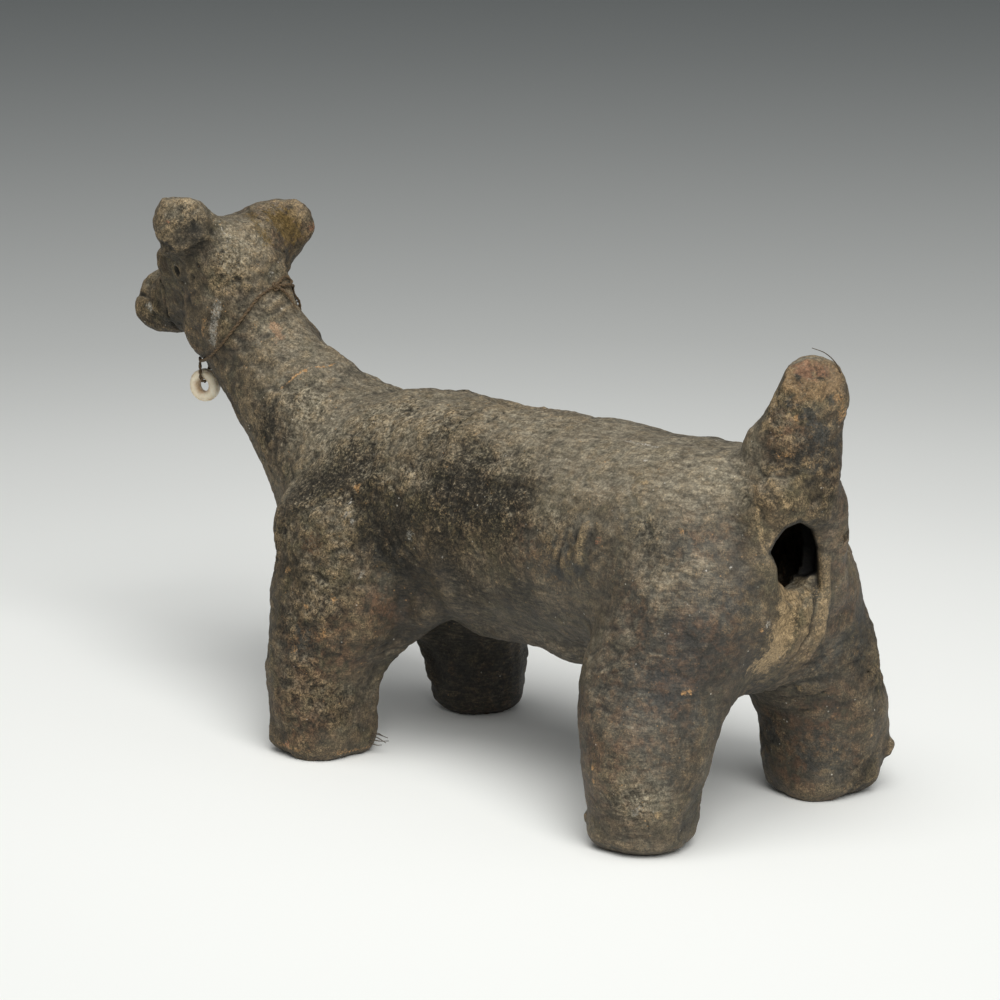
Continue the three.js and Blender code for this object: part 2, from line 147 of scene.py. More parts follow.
CORD_RIGHT = [
    (6.25, 5.2, -36.4), (6.4, 3.8, -35.3), (5.9, -1, -35.3), (4.2, -7.6, -35.7), (-1.2, -15.4, -35.3),
    (-7, -21, -31.5), (-11.6, -23, -24.4), (-16.5, -21, -16.6), (-23, -15.6, -11.2),
    (-27, -5.6, -9), (-27.1, 0, -8.5),
]
KNOT_CENTRE = (-27.7, 2.4, -8.2)
BOW_LOOP = [
    KNOT_CENTRE, (-27.4, -1.5, -5.5), (-26, -6.3, -4.3), (-26.3, -10, -6.5), (-28.4, -8.3, -8.5),
    (-29.1, -3.6, -8.2), (-28, 1.6, -8.2),
]
LOOSE_END = [KNOT_CENTRE, (-29.8, 0.4, -9.9), (-32, -2.6, -12.7), (-35, -4.2, -16.5), (-37.8, -4.6, -19.9)]

# Clay colours, in linear light
EARTH = (0.097, 0.073, 0.041)
SHADE = (0.046, 0.037, 0.023)
# Pale dust; also the colour of the painted top light on faces turned up
DUST_AND_TOP_LIGHT = (0.312, 0.272, 0.194)
OLIVE = (0.090, 0.077, 0.041)
# Near-black soot; also the colour of the painted shade underneath, in hollows, creases, pits and the vent
SOOT_AND_SHADE = (0.022, 0.020, 0.016)
SLATE = (0.046, 0.046, 0.041)
RUST = (0.104, 0.058, 0.031)
SAND = (0.330, 0.235, 0.125)
TAN = (0.142, 0.093, 0.030)
OCHRE = (0.480, 0.270, 0.110)
BRICK = (0.330, 0.150, 0.080)
UMBER = (0.190, 0.100, 0.055)
PALE_BRICK = (0.300, 0.190, 0.110)
CHALK = (0.620, 0.580, 0.500)
ASH = (0.290, 0.275, 0.235)
TWINE_DARK = (0.026, 0.017, 0.009)
TWINE_PALE = (0.160, 0.100, 0.044)
IVORY = (0.81, 0.73, 0.57)
WORN_IVORY = (0.67, 0.56, 0.39)
IVORY_STAIN = (0.34, 0.20, 0.09)
FIBRE_DARK = (0.02, 0.014, 0.009)
FIBRE_PALE = (0.10, 0.07, 0.04)

# Marks on the skin, each at a pixel of the photograph: x, y, radius in mm, colour, strength
SPOTS = [
    # The soot-dark spots in the eye and ear pits, in the hollow under the left ear and in the vent are
    # painted shade
    (176, 271, 1.9, SOOT_AND_SHADE, 1.0), (167, 250, 2.6, SOOT_AND_SHADE, 1.0), (196, 267, 1.2, SOOT_AND_SHADE, 0.9),
    (192, 278, 1.0, SOOT_AND_SHADE, 0.9),
    (182, 283, 0.8, SOOT_AND_SHADE, 0.8), (768, 624, 1.6, CHALK, 0.4), (790, 600, 3.0, EARTH, 0.7),
    (783, 640, 3.0, OCHRE, 0.35),
    (776, 655, 2.6, RUST, 0.5), (791, 570, 4.0, SOOT_AND_SHADE, 0.8), (800, 583, 3.2, EARTH, 0.7),
    (181, 209, 1.5, SOOT_AND_SHADE, 0.6),
    (281, 337, 1.0, BRICK, 0.4),
    (271, 273, 1.6, CHALK, 0.3), (284, 226, 9.0, TAN, 0.95), (299, 214, 3.2, SAND, 0.5),
    (150, 307, 2.4, ASH, 0.55), (152, 308, 1.3, CHALK, 0.35), (217, 232, 1.0, CHALK, 0.4),
    (230, 271, 0.9, CHALK, 0.4), (168, 222, 0.8, BRICK, 0.6), (280, 389, 0.6, CHALK, 0.7),
    (306, 370, 1.0, OCHRE, 0.9), (288, 372, 0.45, CHALK, 0.7), (301, 379, 0.7, OCHRE, 0.8),
    (358, 488, 1.5, OCHRE, 0.7), (350, 502, 1.3, CHALK, 0.4), (347, 515, 1.5, ASH, 0.5),
    (352, 521, 1.2, ASH, 0.5), (411, 535, 1.9, ASH, 0.5), (362, 575, 1.7, ASH, 0.35),
    (333, 599, 1.4, OCHRE, 0.5), (325, 634, 1.4, OCHRE, 0.45), (306, 608, 1.2, OCHRE, 0.45),
    (286, 569, 1.7, OCHRE, 0.4), (294, 649, 1.6, OCHRE, 0.4), (382, 606, 4.2, RUST, 0.6),
    (312, 543, 5.0, RUST, 0.4), (581, 544, 1.7, SAND, 0.8), (580, 553, 1.5, SAND, 0.8),
    (588, 523, 1.1, SAND, 0.5), (598, 541, 1.3, BRICK, 0.4), (645, 484, 1.5, SAND, 0.7),
    (681, 531, 1.2, OCHRE, 0.5), (706, 571, 0.6, CHALK, 0.7), (684, 694, 1.3, OCHRE, 0.75),
    (690, 693, 1.1, OCHRE, 0.65), (593, 768, 1.0, OCHRE, 0.8), (593, 781, 0.9, OCHRE, 0.7),
    (636, 812, 2.2, ASH, 0.4), (658, 815, 1.4, SAND, 0.6), (706, 789, 1.1, OCHRE, 0.6),
    (806, 371, 4.6, UMBER, 0.8), (823, 371, 3.0, UMBER, 0.7), (798, 378, 1.4, SOOT_AND_SHADE, 0.8),
    (822, 378, 1.3, SOOT_AND_SHADE, 0.9),
    (790, 402, 2.2, SLATE, 0.8), (832, 400, 2.0, SLATE, 0.6), (764, 425, 2.0, SAND, 0.6),
    (797, 418, 1.4, OCHRE, 0.7),
    (871, 735, 1.0, OCHRE, 0.6), (890, 752, 1.0, OCHRE, 0.7), (878, 768, 0.9, OCHRE, 0.5),
    (800, 688, 1.9, SAND, 0.5), (731, 568, 0.5, CHALK, 0.7), (762, 631, 1.0, OCHRE, 0.7),
    (288, 744, 1.4, BRICK, 0.7), (792, 401, 1.4, SOOT_AND_SHADE, 0.7), (790, 417, 1.6, SAND, 0.6),
    (830, 425, 1.3, SAND, 0.7), (845, 412, 1.3, OCHRE, 0.5), (312, 228, 2.0, BRICK, 0.5),
    (232, 262, 8.0, SAND, 0.2), (255, 250, 6.0, SAND, 0.2), (826, 575, 2.2, SAND, 0.4),
    (822, 600, 2.0, SAND, 0.5), (645, 460, 1.0, CHALK, 0.5),
]

# Lines on the skin: pixels of the photograph, half-width in mm, colour, strength
LINES = [
    ([(780, 384), (774, 402), (768, 416)], 2.4, SAND, 0.5),
    ([(811, 416), (822, 433)], 3.2, SLATE, 0.7),
    ([(840, 395), (841, 418)], 1.6, OCHRE, 0.4),
    ([(217, 306), (214, 322), (212, 342)], 1.9, ASH, 0.55),
    ([(204, 319), (203, 334)], 1.0, OCHRE, 0.45),
    ([(275, 327), (281, 339)], 1.9, PALE_BRICK, 0.75),
    ([(249, 213), (258, 228), (268, 241)], 2.2, TAN, 0.6),
    ([(219, 222), (228, 238)], 1.4, CHALK, 0.15),
    ([(163, 200), (188, 200)], 1.6, SAND, 0.35),
    ([(281, 202), (295, 202), (303, 213)], 1.8, SAND, 0.45),
    ([(280, 389), (286, 383), (298, 374), (309, 367), (327, 366), (349, 360)], 0.42, OCHRE, 0.75),
    ([(755, 486), (758, 515), (765, 553)], 0.9, SAND, 0.5),
    ([(771, 481), (779, 493), (787, 507)], 1.0, SAND, 0.7),
    ([(776, 437), (794, 438)], 0.9, SAND, 0.4),
    ([(774, 457), (792, 455)], 0.9, OCHRE, 0.3),
    ([(772, 469), (792, 466)], 0.8, SAND, 0.4),
    ([(626, 440), (641, 443), (659, 447)], 0.7, CHALK, 0.4),
    ([(277, 744), (300, 750), (340, 753), (371, 746)], 1.0, OCHRE, 0.4),
    ([(792, 596), (786, 618), (779, 640), (768, 662)], 6.0, SAND, 0.8),
    ([(822, 590), (822, 612), (815, 636), (800, 658)], 2.6, SAND, 0.42),
    ([(796, 357), (812, 356), (834, 361)], 0.8, SAND, 0.6),
]

# Cuts into the clay: pixels of the photograph, radius at the start and at the end
CUTS = [
    ([(815, 584), (817, 596), (815, 610), (812, 622), (810, 634), (802, 644), (797, 653), (786, 665)],
     1.0, 0.4),
    ([(721, 455), (727, 458), (731, 466), (738, 470), (741, 478), (748, 479), (756, 482)], 0.35, 0.3),
    ([(247, 209), (254, 217), (262, 222)], 0.55, 0.4),
    ([(275, 248), (283, 252), (290, 254), (295, 247)], 0.45, 0.35),
    ([(160, 244), (165, 248), (171, 253)], 1.3, 1.6),
    ([(203, 257), (218, 251), (239, 248)], 0.5, 0.3),
    ([(849, 677), (865, 672), (882, 668)], 0.5, 0.4),
    ([(178, 330), (167, 310), (164, 288), (159, 273)], 0.7, 0.5),
    ([(137, 293), (144, 295), (151, 298)], 0.9, 0.3),
    ([(788, 396), (797, 392), (806, 398), (815, 404)], 0.8, 0.5),
    ([(517, 407), (507, 412), (496, 418), (484, 425), (472, 434)], 0.45, 0.25),
    ([(566, 535), (560, 550), (557, 572)], 0.6, 0.4),
    ([(604, 552), (592, 560), (584, 572)], 0.5, 0.3),
    ([(612, 655), (640, 650), (668, 655), (690, 664)], 0.4, 0.25),
    ([(604, 676), (632, 668), (664, 671), (694, 682)], 0.4, 0.25),
    ([(650, 700), (672, 695), (694, 697)], 0.45, 0.3),
    ([(760, 690), (780, 697), (802, 697), (830, 690)], 0.5, 0.3),
    ([(765, 704), (790, 711), (815, 709)], 0.45, 0.3),
]

# Pits: pixel of the photograph and radius
EYE_PITS = [(176, 271, 1.8), (196, 267, 1.2), (192, 278, 1.0), (181.5, 283, 0.8)]
EAR_PITS = [(181, 206, 0.7), (180, 231, 0.6)]
PIT_TAPER = 0.7
FAR_PIT_SCALE = 0.9  # pits of the unseen eye beside those of the seen one
FAR_PIT_TAPER = 0.6
FAR_PIT_SHIFT = (0.6, -0.5)  # forward and up

# Firing vent: its outline in the photograph, its middle, half its depth along the sight and its rounding
VENT_MOUTH = [
    (785, 529), (800, 522), (811, 529), (816, 548), (815, 572), (804, 577), (790, 573), (777, 563),
    (770, 553), (776, 541),
]
VENT_MIDDLE = (-146, 4, 90)
VENT_DEPTH = 20.0
VENT_ROUNDING = 1.5
VENT_EDGE = 1.2  # rounding of the mouth's edge
VENT_SLOPE_ROUNDING = 2.0
VENT_BORE = [(-130, -6, 88), (-116, 0.8, 88)]  # from its floor to the body's hollow
VENT_RADIUS = 7.5

# Slope that leads from inside the vent down to the patch below it: outline, and where it begins
VENT_LIP = [(777, 560), (814, 560), (816, 586), (814, 600), (800, 607), (786, 599), (778, 580)]
VENT_SLOPE_EDGE = (797, 606)
VENT_SLOPE_TILT = 0.4  # how steeply it leads inward
# Painted shade, near black, inside the vent
VENT_SHADE = (0.004, 0.0035, 0.003)

# Clay that leads from the tail's root down beside the vent
RUMP_FILLS = [
    [(-147, -10, 103), (-146, -14, 90), (-142, -17, 74)],
    [(-148, 13, 109), (-145, 17, 92), (-141, 19, 76)],
]
RUMP_FILL_RADIUS = 8.0
RUMP_FILL_END = 0.6 * RUMP_FILL_RADIUS
RUMP_FILLET = 6.0

# Hollow between the ears, and the mouth
SADDLE_CUT = [(92, 0.8, 186.4), (142, 0.8, 186.4)]
SADDLE_RADIUS = 14.0
SADDLE_FILLET = 4.0
MOUTH_CUT = [(150, -16, 132), (159.5, -7, 130.2), (161.5, 0.8, 129.8), (159.5, 8.5, 130.2), (150, 17.5, 132)]
MOUTH_RADIUS = 0.8

# Clay raised above the skin: pixels of the photograph, radius at the start and at the end
DAUBS = [
    ([(771, 481), (779, 493), (787, 507)], 0.9, 0.7),
    ([(586, 528), (581, 545), (578, 560)], 1.8, 1.2),
    ([(891, 745), (891, 752)], 2.4, 2.0),
    ([(584, 815), (584, 819)], 0.9, 0.7),
    ([(824, 560), (825, 592), (820, 632), (805, 658)], 2.0, 1.6),
]

# Form worked over: pixels of the photograph, reach in mm and how far the skin moves out
SWELLS = [
    (297, 268, 13, -3.8), (308, 299, 13, -3.8), (335, 336, 15, -3.2), (358, 357, 14, -2.6),
    (376, 372, 10, -1.0),
    (158, 262, 9, 2.0), (156, 247, 7, 1.4), (155, 273, 9, 2.2), (138, 312, 11, 1.6), (187, 343, 11, 2.2),
    (172, 334, 8, -1.4), (297, 194, 9, -2.2), (317, 241, 7, -2.0), (283, 515, 17, 2.6), (450, 391, 20, 1.0),
    (374, 705, 15, 2.2), (370, 740, 12, 1.6), (391, 389, 15, 1.6), (415, 388, 12, 1.0),
    (525, 394, 20, -3.4),
    (700, 812, 14, -1.8), (787, 622, 11, -1.8), (270, 600, 20, 2.0), (573, 663, 14, 2.6),
    (635, 423, 22, 1.4), (715, 438, 18, 0.8), (746, 431, 11, 1.8), (184, 191, 8, -1.6),
    (765, 384, 11, -3.2), (774, 360, 11, -4.0),
    (790, 349, 8, -1.4), (849, 398, 11, 2.4), (756, 411, 8, -2.0), (857, 489, 13, -1.2),
    (875, 638, 15, 1.8), (893, 744, 10, 2.2),
    (270, 738, 10, 2.0), (376, 750, 9, 1.4), (590, 836, 11, 2.2), (884, 776, 11, 2.0), (320, 757, 14, 2.0),
    (815, 797, 14, 2.0),
]

# Clay that fills the corners between the front legs and the belly: pixels of the photograph, radius at the
# start and at the end
WEBS = [
    ([(432, 606), (412, 628), (396, 648), (384, 668), (378, 694)], 6.5, 1.2),
    ([(426, 616), (420, 634), (428, 652), (433, 672)], 6.0, 1.0),
]
WEB_FILLET = 6.0

# Broken ends: a place on the break and the way it faces
BREAKS = [((-153.0, 4.0, 148.6), (-0.50, 0.52, 0.69))]
CRISP_PLACES = [(-153, 4, 148), (116, 29, 177), (107, -30, 171)]
CRISP_REACH = 20.0  # how far from these the clay keeps its edges
BREAK_REACH = 14
BREAK_RADIUS = 13.5
BREAK_EDGE = 0.8  # rounding of the break's edge
BREAK_ROUGHNESS = 1.3
BREAK_TINT = (0.200, 0.130, 0.066)

# Ears: outline as pixels of the photograph, a place at the right depth, half the thickness and the rounding
EARS = [
    ([(163, 200), (188, 199), (198, 204), (204, 213), (209, 220), (209, 240), (184, 254), (163, 254),
      (160, 242), (157, 234), (156, 221), (159, 208)], (116, 23, 173), 8.0, 2.6),
    ([(248, 213), (280, 205), (294, 202), (300, 208), (312, 227), (311, 232), (299, 246), (287, 263),
      (272, 254), (257, 228)], (112, -21, 169), 5.5, 2.0),
]
EAR_FILLET = 3.4

# Tones of the crust, and painted shade: pixels of the photograph and radius in mm
# Soot, and painted shade: the patches under the left ear, on the lower flank, round the far front leg and in
# the vent paint shade
SOOT_AND_SHADE_PATCHES = [
    (200, 238, 6), (352, 474, 13), (447, 480, 16), (508, 504, 15), (375, 548, 8), (296, 495, 9),
    (455, 575, 14),
    (520, 590, 11), (480, 690, 34), (470, 650, 26), (440, 700, 24), (795, 552, 9), (172, 322, 3.5),
    (270, 420, 7), (410, 590, 9), (760, 690, 7), (400, 520, 7), (190, 236, 5), (805, 446, 4),
]
DUST_PATCHES = [
    (690, 475, 17), (640, 450, 15), (600, 432, 16), (540, 425, 15), (400, 400, 18), (336, 428, 15),
    (440, 410, 16), (310, 400, 13), (230, 255, 6), (720, 470, 12), (248, 240, 9), (640, 800, 9),
]
# Painted shade: patches that darken the cheek, the right ear, the haunch and the hind leg
SHADE_PATCHES = [
    (250, 330, 9), (645, 560, 16), (680, 600, 18), (618, 612, 9), (630, 680, 20), (700, 660, 14),
    (280, 230, 8),
]
SHADE_STRENGTH = 0.42
RUST_PATCHES = [
    (640, 650, 16), (600, 720, 12), (650, 720, 15), (620, 790, 13), (280, 215, 10), (690, 640, 13),
    (820, 720, 15), (320, 660, 14), (300, 720, 10),
    (640, 600, 12), (382, 606, 9), (785, 420, 8), (280, 230, 8), (530, 540, 8), (690, 545, 10),
]
SLATE_PATCHES = [
    (665, 585, 20), (560, 560, 13), (640, 700, 14), (690, 560, 10), (730, 600, 9), (660, 770, 10),
    (830, 760, 12), (860, 640, 9),
    (390, 560, 8), (300, 640, 7), (620, 680, 9), (700, 720, 8), (820, 450, 8), (640, 520, 9), (193, 222, 6),
]

# Where the crust is coarse and granular: pixels of the photograph and radius in mm
CRUST_PATCHES = [
    (330, 470, 20), (400, 485, 20), (455, 490, 18), (505, 512, 14), (300, 560, 18), (340, 590, 16),
    (310, 620, 15), (300, 690, 12), (340, 710, 10), (450, 425, 12), (380, 425, 14), (300, 405, 13),
    (270, 425, 10), (555, 530, 10), (150, 306, 9), (645, 530, 7),
    (640, 805, 8), (790, 400, 13), (800, 460, 12), (825, 490, 10), (795, 610, 12), (180, 215, 9),
    (216, 320, 5), (230, 270, 8), (285, 228, 9), (760, 510, 9),
]

# Loose fibres: pixels of the photograph along each, and the piece of clay they grow from
FIBRES = [
    ([(371, 735), (378, 738), (386, 743)], "leg_front_left"),
    ([(370, 739), (379, 741), (389, 741)], "leg_front_left"),
    ([(371, 737), (377, 733), (383, 736)], "leg_front_left"),
    ([(369, 742), (376, 745), (382, 745)], "leg_front_left"),
    ([(372, 733), (380, 735), (388, 738)], "leg_front_left"),
    ([(841, 373), (835, 362), (825, 353), (812, 348)], "tail"),
]
FIBRE_RADIUS = 0.22

# Crust, as noise: height in mm, size of its lumps in mm and seed
CRUST_LUMPS = [(0.6, 46, 1), (0.5, 21, 2), (0.45, 11, 3)]
CRUST_GRIT = [(0.45, 5.6, 4), (0.4, 3.0, 5), (0.25, 1.8, 8)]
COARSE_WOBBLE = [(0.4, 14, 31), (0.3, 5, 33)]
RAGGED = [(0.5, 2.4, 63), (0.35, 1.2, 64)]
BAND_STRETCH = (0.5, 0.5, 1.3)
CREASE_STRETCH = (0.55, 0.55, 1.3)
CREASE_WIDTH = 0.12
CRACK_WIDTH = 0.09
PIT_LEVEL = 0.25

# Heights and depths of that crust in mm, and what each gains where the crust is coarse or on the legs
BAND_HEIGHT = 0.12
BAND_ON_LEGS = 0.14
GRIT_HEIGHT = 0.38
GRIT_IF_COARSE = 0.85
CREASE_DEPTH = 0.45
PIT_IF_COARSE = 1.1
CRACK_DEPTH = 0.15
CRACK_IF_COARSE = 0.4

# How coarse the crust is, from 0 to 1
COARSE_LEAST = 0.05
COARSE_BASE = 0.32
COARSE_ON_REAR = -0.2
COARSE_IN_PATCH = 0.5
COARSE_ON_BELLY = -0.22

# Soot and painted shade, from 0 to 1, by where the clay lies
SOOT_AND_SHADE_IN_PATCH = 0.7
SOOT_GUESSED = 0.6
# Painted shade on faces turned down, and in enclosed hollows
SHADE_BELOW = 0.55
SHADE_IN_HOLLOWS = 0.8
# Darkening towards the bottom, on the legs
DARKER_LOW_DOWN = 0.18
BREAK_STRENGTH = 0.7
FAR_SIDE = (8, -16)  # from here to there in y the photograph shows less and less

# How relief and hollows are told from the clay's own form, in mm
RELIEF_HEIGHT = 0.35  # height in mm at which relief counts as fully raised or sunken
COVERED_BLUR = 6.0
CURVE_BLUR = 1.6

# Studio, in metres and watts
FLOOR_REACH = 9.0
FLOOR_LIGHT_MIDDLE = (0.07, -0.075, 0)  # where the floor is palest
FLOOR_SPAN = 4.0  # distance from there at which the tones below end
# Painted light on the floor: its brightness from the pool's middle outward
FLOOR_PAINTED_LIGHT = [
    (0.0, 0.99), (0.045, 0.99), (0.065, 0.96), (0.09, 0.90), (0.118, 0.85), (0.151, 0.775),
    (0.19, 0.705), (0.237, 0.665), (0.295, 0.63), (0.452, 0.555), (0.682, 0.465), (1.0, 0.375),
]
AMBIENT_STRENGTH = 0.23
AMBIENT_COLOUR = (0.96, 0.98, 1.0, 1)
HORIZON_COLOUR = (0.419, 0.447, 0.447, 1)  # seen behind the floor, as dark as its far end
LAMP_TARGET = (-0.02, 0, 0.08)
LAMPS = {
    "key": {"place": (-1.46, 0.88, 1.39), "size": 1.44, "power": 31},
    "overhead": {"place": (-0.39, 0.61, 1.90), "size": 1.6, "power": 18.2},
}


def unit(vector):
    return vector / np.linalg.norm(vector)


def gaps(points, place):
    """How far points lie from a place."""
    return np.linalg.norm(points - place, axis=-1)


def add_object(name, data):
    made = bpy.data.objects.new(name, data)
    bpy.context.scene.collection.objects.link(made)
    return made


def camera_axes():
    """Right, up and forward of the photograph's camera."""
    turn = math.radians(CAMERA_AZIMUTH)
    rise = math.radians(CAMERA_ELEVATION)
    forward = np.array([-math.sin(turn) * math.cos(rise), math.cos(turn) * math.cos(rise), -math.sin(rise)])
    right = unit(np.cross(forward, (0, 0, 1)))
    return right, np.cross(right, forward), forward


def add_camera():
    right, up, forward = camera_axes()
    data = bpy.data.cameras.new("photo_camera")
    data.sensor_width = SENSOR_WIDTH
    data.lens = SENSOR_WIDTH * FOCAL_PIXELS / IMAGE_PIXELS
    data.clip_end = CLIP_END
    camera = add_object("photo_camera", data)
    turn = Matrix((right, up, -forward)).transposed().to_4x4()
    camera.matrix_world = Matrix.Translation(Vector(CAMERA_PLACE * MM)) @ turn
    bpy.context.scene.camera = camera


def smoothstep(low, high, value):
    share = np.clip((value - low) / (high - low), 0, 1)
    return share * share * (3 - 2 * share)


def noise(points, size, seed):
    """Gradient noise of about -1 to 1, with lumps of the given size."""
    chunks = np.array_split(points, len(points) // CHUNK + 1)
    return np.concatenate(list(WORKERS.map(partial(noise_chunk, size=size, seed=seed), chunks)))


def noise_chunk(points, size, seed):
    places = points / size + seed * SEED_SHIFT
    cells = np.floor(places).astype(np.int64)
    inside = places - cells
    fade = inside * inside * inside * (inside * (inside * 6 - 15) + 10)
    total = np.zeros(len(points))
    for corner in itertools.product((0, 1), repeat=3):
        mixed = ((cells + corner) @ np.array(HASH_STEPS) + seed * HASH_SEED_STEP) & WORD
        mixed = ((mixed ^ (mixed >> 13)) * HASH_STIR) & WORD
        mixed ^= mixed >> 16
        slopes = np.stack([mixed & 1023, (mixed >> 10) & 1023, (mixed >> 20) & 1023], 1) / 511.5 - 1
        weights = np.prod(np.where(corner, fade, 1 - fade), axis=1)
        total += weights * np.sum(slopes * (inside - corner), axis=1)
    return NOISE_GAIN * total


def layered(points, size, seed, layers):
    """Noise with finer and weaker layers added."""
    return sum(noise(points, size / 2**k, seed + k) / 2**k for k in range(layers))


def unseen_share(points):
    """1 on the side that the photograph doesn't show, where the crust is guessed."""
    return smoothstep(*FAR_SIDE, points[:, 1])


def summed(points, layers):
    """Noise added up from layers of given height, size and seed."""
    return sum(height * noise(points, size, seed) for height, size, seed in layers)


# The volume: one distance value for each cell of a box round the figure
LOW = np.array(CAD_BOX[0]) / MM - MARGIN
SHAPE = tuple(np.ceil((np.array(CAD_BOX[1]) / MM + MARGIN - LOW) / VOXEL).astype(int))
FAR = BAND * VOXEL


def node_distance(node):
    """A lump's distance field and its place in the volume."""
    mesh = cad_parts[node].data
    points = np.empty(3 * len(mesh.vertices), np.float32)
    mesh.vertices.foreach_get("co", points)
    mesh.calc_loop_triangles()
    faces = np.empty(3 * len(mesh.loop_triangles), np.int32)
    mesh.loop_triangles.foreach_get("vertices", faces)
    points = (points.reshape(-1, 3) / MM - LOW).astype(np.float32)
    transform = vdb.createLinearTransform(VOXEL)
    triangles = faces.reshape(-1, 3).astype(np.uint32)
    grid = vdb.FloatGrid.createLevelSetFromPolygons(points, triangles, transform=transform, halfWidth=BAND)
    first = np.maximum(np.floor(points.min(0) / VOXEL).astype(int) - BAND, 0)
    last = np.minimum(np.ceil(points.max(0) / VOXEL).astype(int) + BAND, SHAPE)
    field = np.empty(tuple(last - first), np.float32)
    grid.copyToArray(field, ijk=tuple(int(i) for i in first))
    return field, tuple(slice(a, b) for a, b in zip(first, last))


def blurred(field, half_width):
    """The field averaged twice over cubes of that half-width."""
    reach = max(1, round(half_width / VOXEL))
    for axis in (0, 1, 2, 0, 1, 2):
        across = 1 if axis == 0 else 0
        slabs = np.array_split(field, SLABS, axis=across)
        means = WORKERS.map(partial(running_mean, reach=reach, axis=axis), slabs)
        field = np.concatenate(list(means), axis=across)
    return field


def running_mean(field, reach, axis):
    """Each cell's mean with its neighbours within reach along one axis."""
    width = 2 * reach + 1
    pad = [(reach + 1, reach) if a == axis else (0, 0) for a in range(3)]
    sums = np.cumsum(np.pad(field, pad, mode="edge"), axis=axis, dtype=np.float64)
    first = [slice(None)] * 3
    last = [slice(None)] * 3
    first[axis] = slice(None, -width)
    last[axis] = slice(width, None)
    return ((sums[tuple(last)] - sums[tuple(first)]) / width).astype(np.float32)


def sampled(field, points):
    """The field at points, interpolated."""
    places = np.clip((points - LOW) / VOXEL, 0, np.array(SHAPE) - 1.001)
    cells = places.astype(int)
    inside = places - cells
    total = np.zeros(len(points))
    for corner in itertools.product((0, 1), repeat=3):
        weights = np.prod(np.where(corner, inside, 1 - inside), axis=1)
        total += weights * field[tuple((cells + corner).T)]
    return total


def slopes(field, points):
    """Unit direction in which the field grows fastest at points."""
    steps = np.eye(3) * VOXEL
    slope = np.stack([sampled(field, points + s) - sampled(field, points - s) for s in steps], 1)
    return slope / np.maximum(np.linalg.norm(slope, axis=1, keepdims=True), TINY)


def on_skin(field, pixels):
    """Points of the skin behind pixels of the photograph, or where a line of sight passes closest to it."""
    sight = sight_of(pixels)
    sight /= np.linalg.norm(sight, axis=1, keepdims=True)
    half = np.array(SHAPE) * VOXEL / 2
    start = np.linalg.norm(CAMERA_PLACE - (LOW + half)) - half.max()
    places = CAMERA_PLACE + sight * start
    closest = places.copy()
    least = np.full(len(places), np.inf)
    for _ in range(SIGHT_STEPS):
        distance = sampled(field, places)
        nearer = (distance < least) & (least > TOUCH)
        closest[nearer] = places[nearer]
        least = np.minimum(least, distance)
        places = places + sight * np.maximum(distance, LEAST_STEP)[:, None]
    for _ in range(SETTLING_STEPS):
        closest = closest - slopes(field, closest) * sampled(field, closest)[:, None]
    return closest


def traced_lines(field, lines):
    """The skin's points along lines that each begin with a list of pixels."""
    traced = on_skin(field, [pixel for line in lines for pixel in line[0]])
    return np.split(traced, np.cumsum([len(line[0]) for line in lines])[:-1])


def sight_of(pixels):
    """Sight lines through pixels of the photograph, of length 1 along the camera's forward direction."""
    right, up, forward = camera_axes()
    offset = (np.array(pixels, float) - IMAGE_PIXELS / 2) / FOCAL_PIXELS
    return forward + offset[:, :1] * right - offset[:, 1:] * up


def polygon_distance(x, y, corners):
    """Distance to a polygon's edge, negative inside."""
    least = np.full(x.shape, np.inf)
    inside = np.zeros(x.shape, bool)
    for (ax, ay), (bx, by) in zip(corners, np.roll(corners, -1, axis=0)):
        dx = bx - ax
        dy = by - ay
        share = np.clip(((x - ax) * dx + (y - ay) * dy) / (dx * dx + dy * dy), 0, 1)
        least = np.minimum(least, np.hypot(x - ax - share * dx, y - ay - share * dy))
        inside ^= ((ay > y) != (by > y)) & (x < ax + (y - ay) * dx / (dy or TINY))
    return np.where(inside, -least, least)


def slab_distance(points, pixels, middle, half_depth, rounding):
    """Distance to a slab with the given outline in the photograph, and its thickness along the sight."""
    right, up, forward = camera_axes()
    depth = (np.array(middle) - CAMERA_PLACE) @ forward
    offsets = points - CAMERA_PLACE
    along = offsets @ forward
    x = (offsets @ right) / along * depth
    y = (offsets @ -up) / along * depth
    outline = (np.array(pixels, float) - IMAGE_PIXELS / 2) / FOCAL_PIXELS * depth
    across = polygon_distance(x, y, outline) + rounding
    thick = np.abs(along - depth) - half_depth + rounding
    inside = np.minimum(np.maximum(across, thick), 0)
    return np.hypot(np.maximum(across, 0), np.maximum(thick, 0)) + inside - rounding


def slab_cells(pixels, middle, half_depth):
    """The part of the volume round such a slab, and the places of its cells."""
    depth = (np.array(middle) - CAMERA_PLACE) @ camera_axes()[2]
    return local_cells(CAMERA_PLACE + sight_of(pixels) * depth, half_depth + 5)


def add_ear(field, pixels, middle, half_depth, rounding):
    part, cells = slab_cells(pixels, middle, half_depth)
    slab = slab_distance(cells, pixels, middle, half_depth, rounding)
    field[part] = soft_min(field[part], slab, EAR_FILLET)


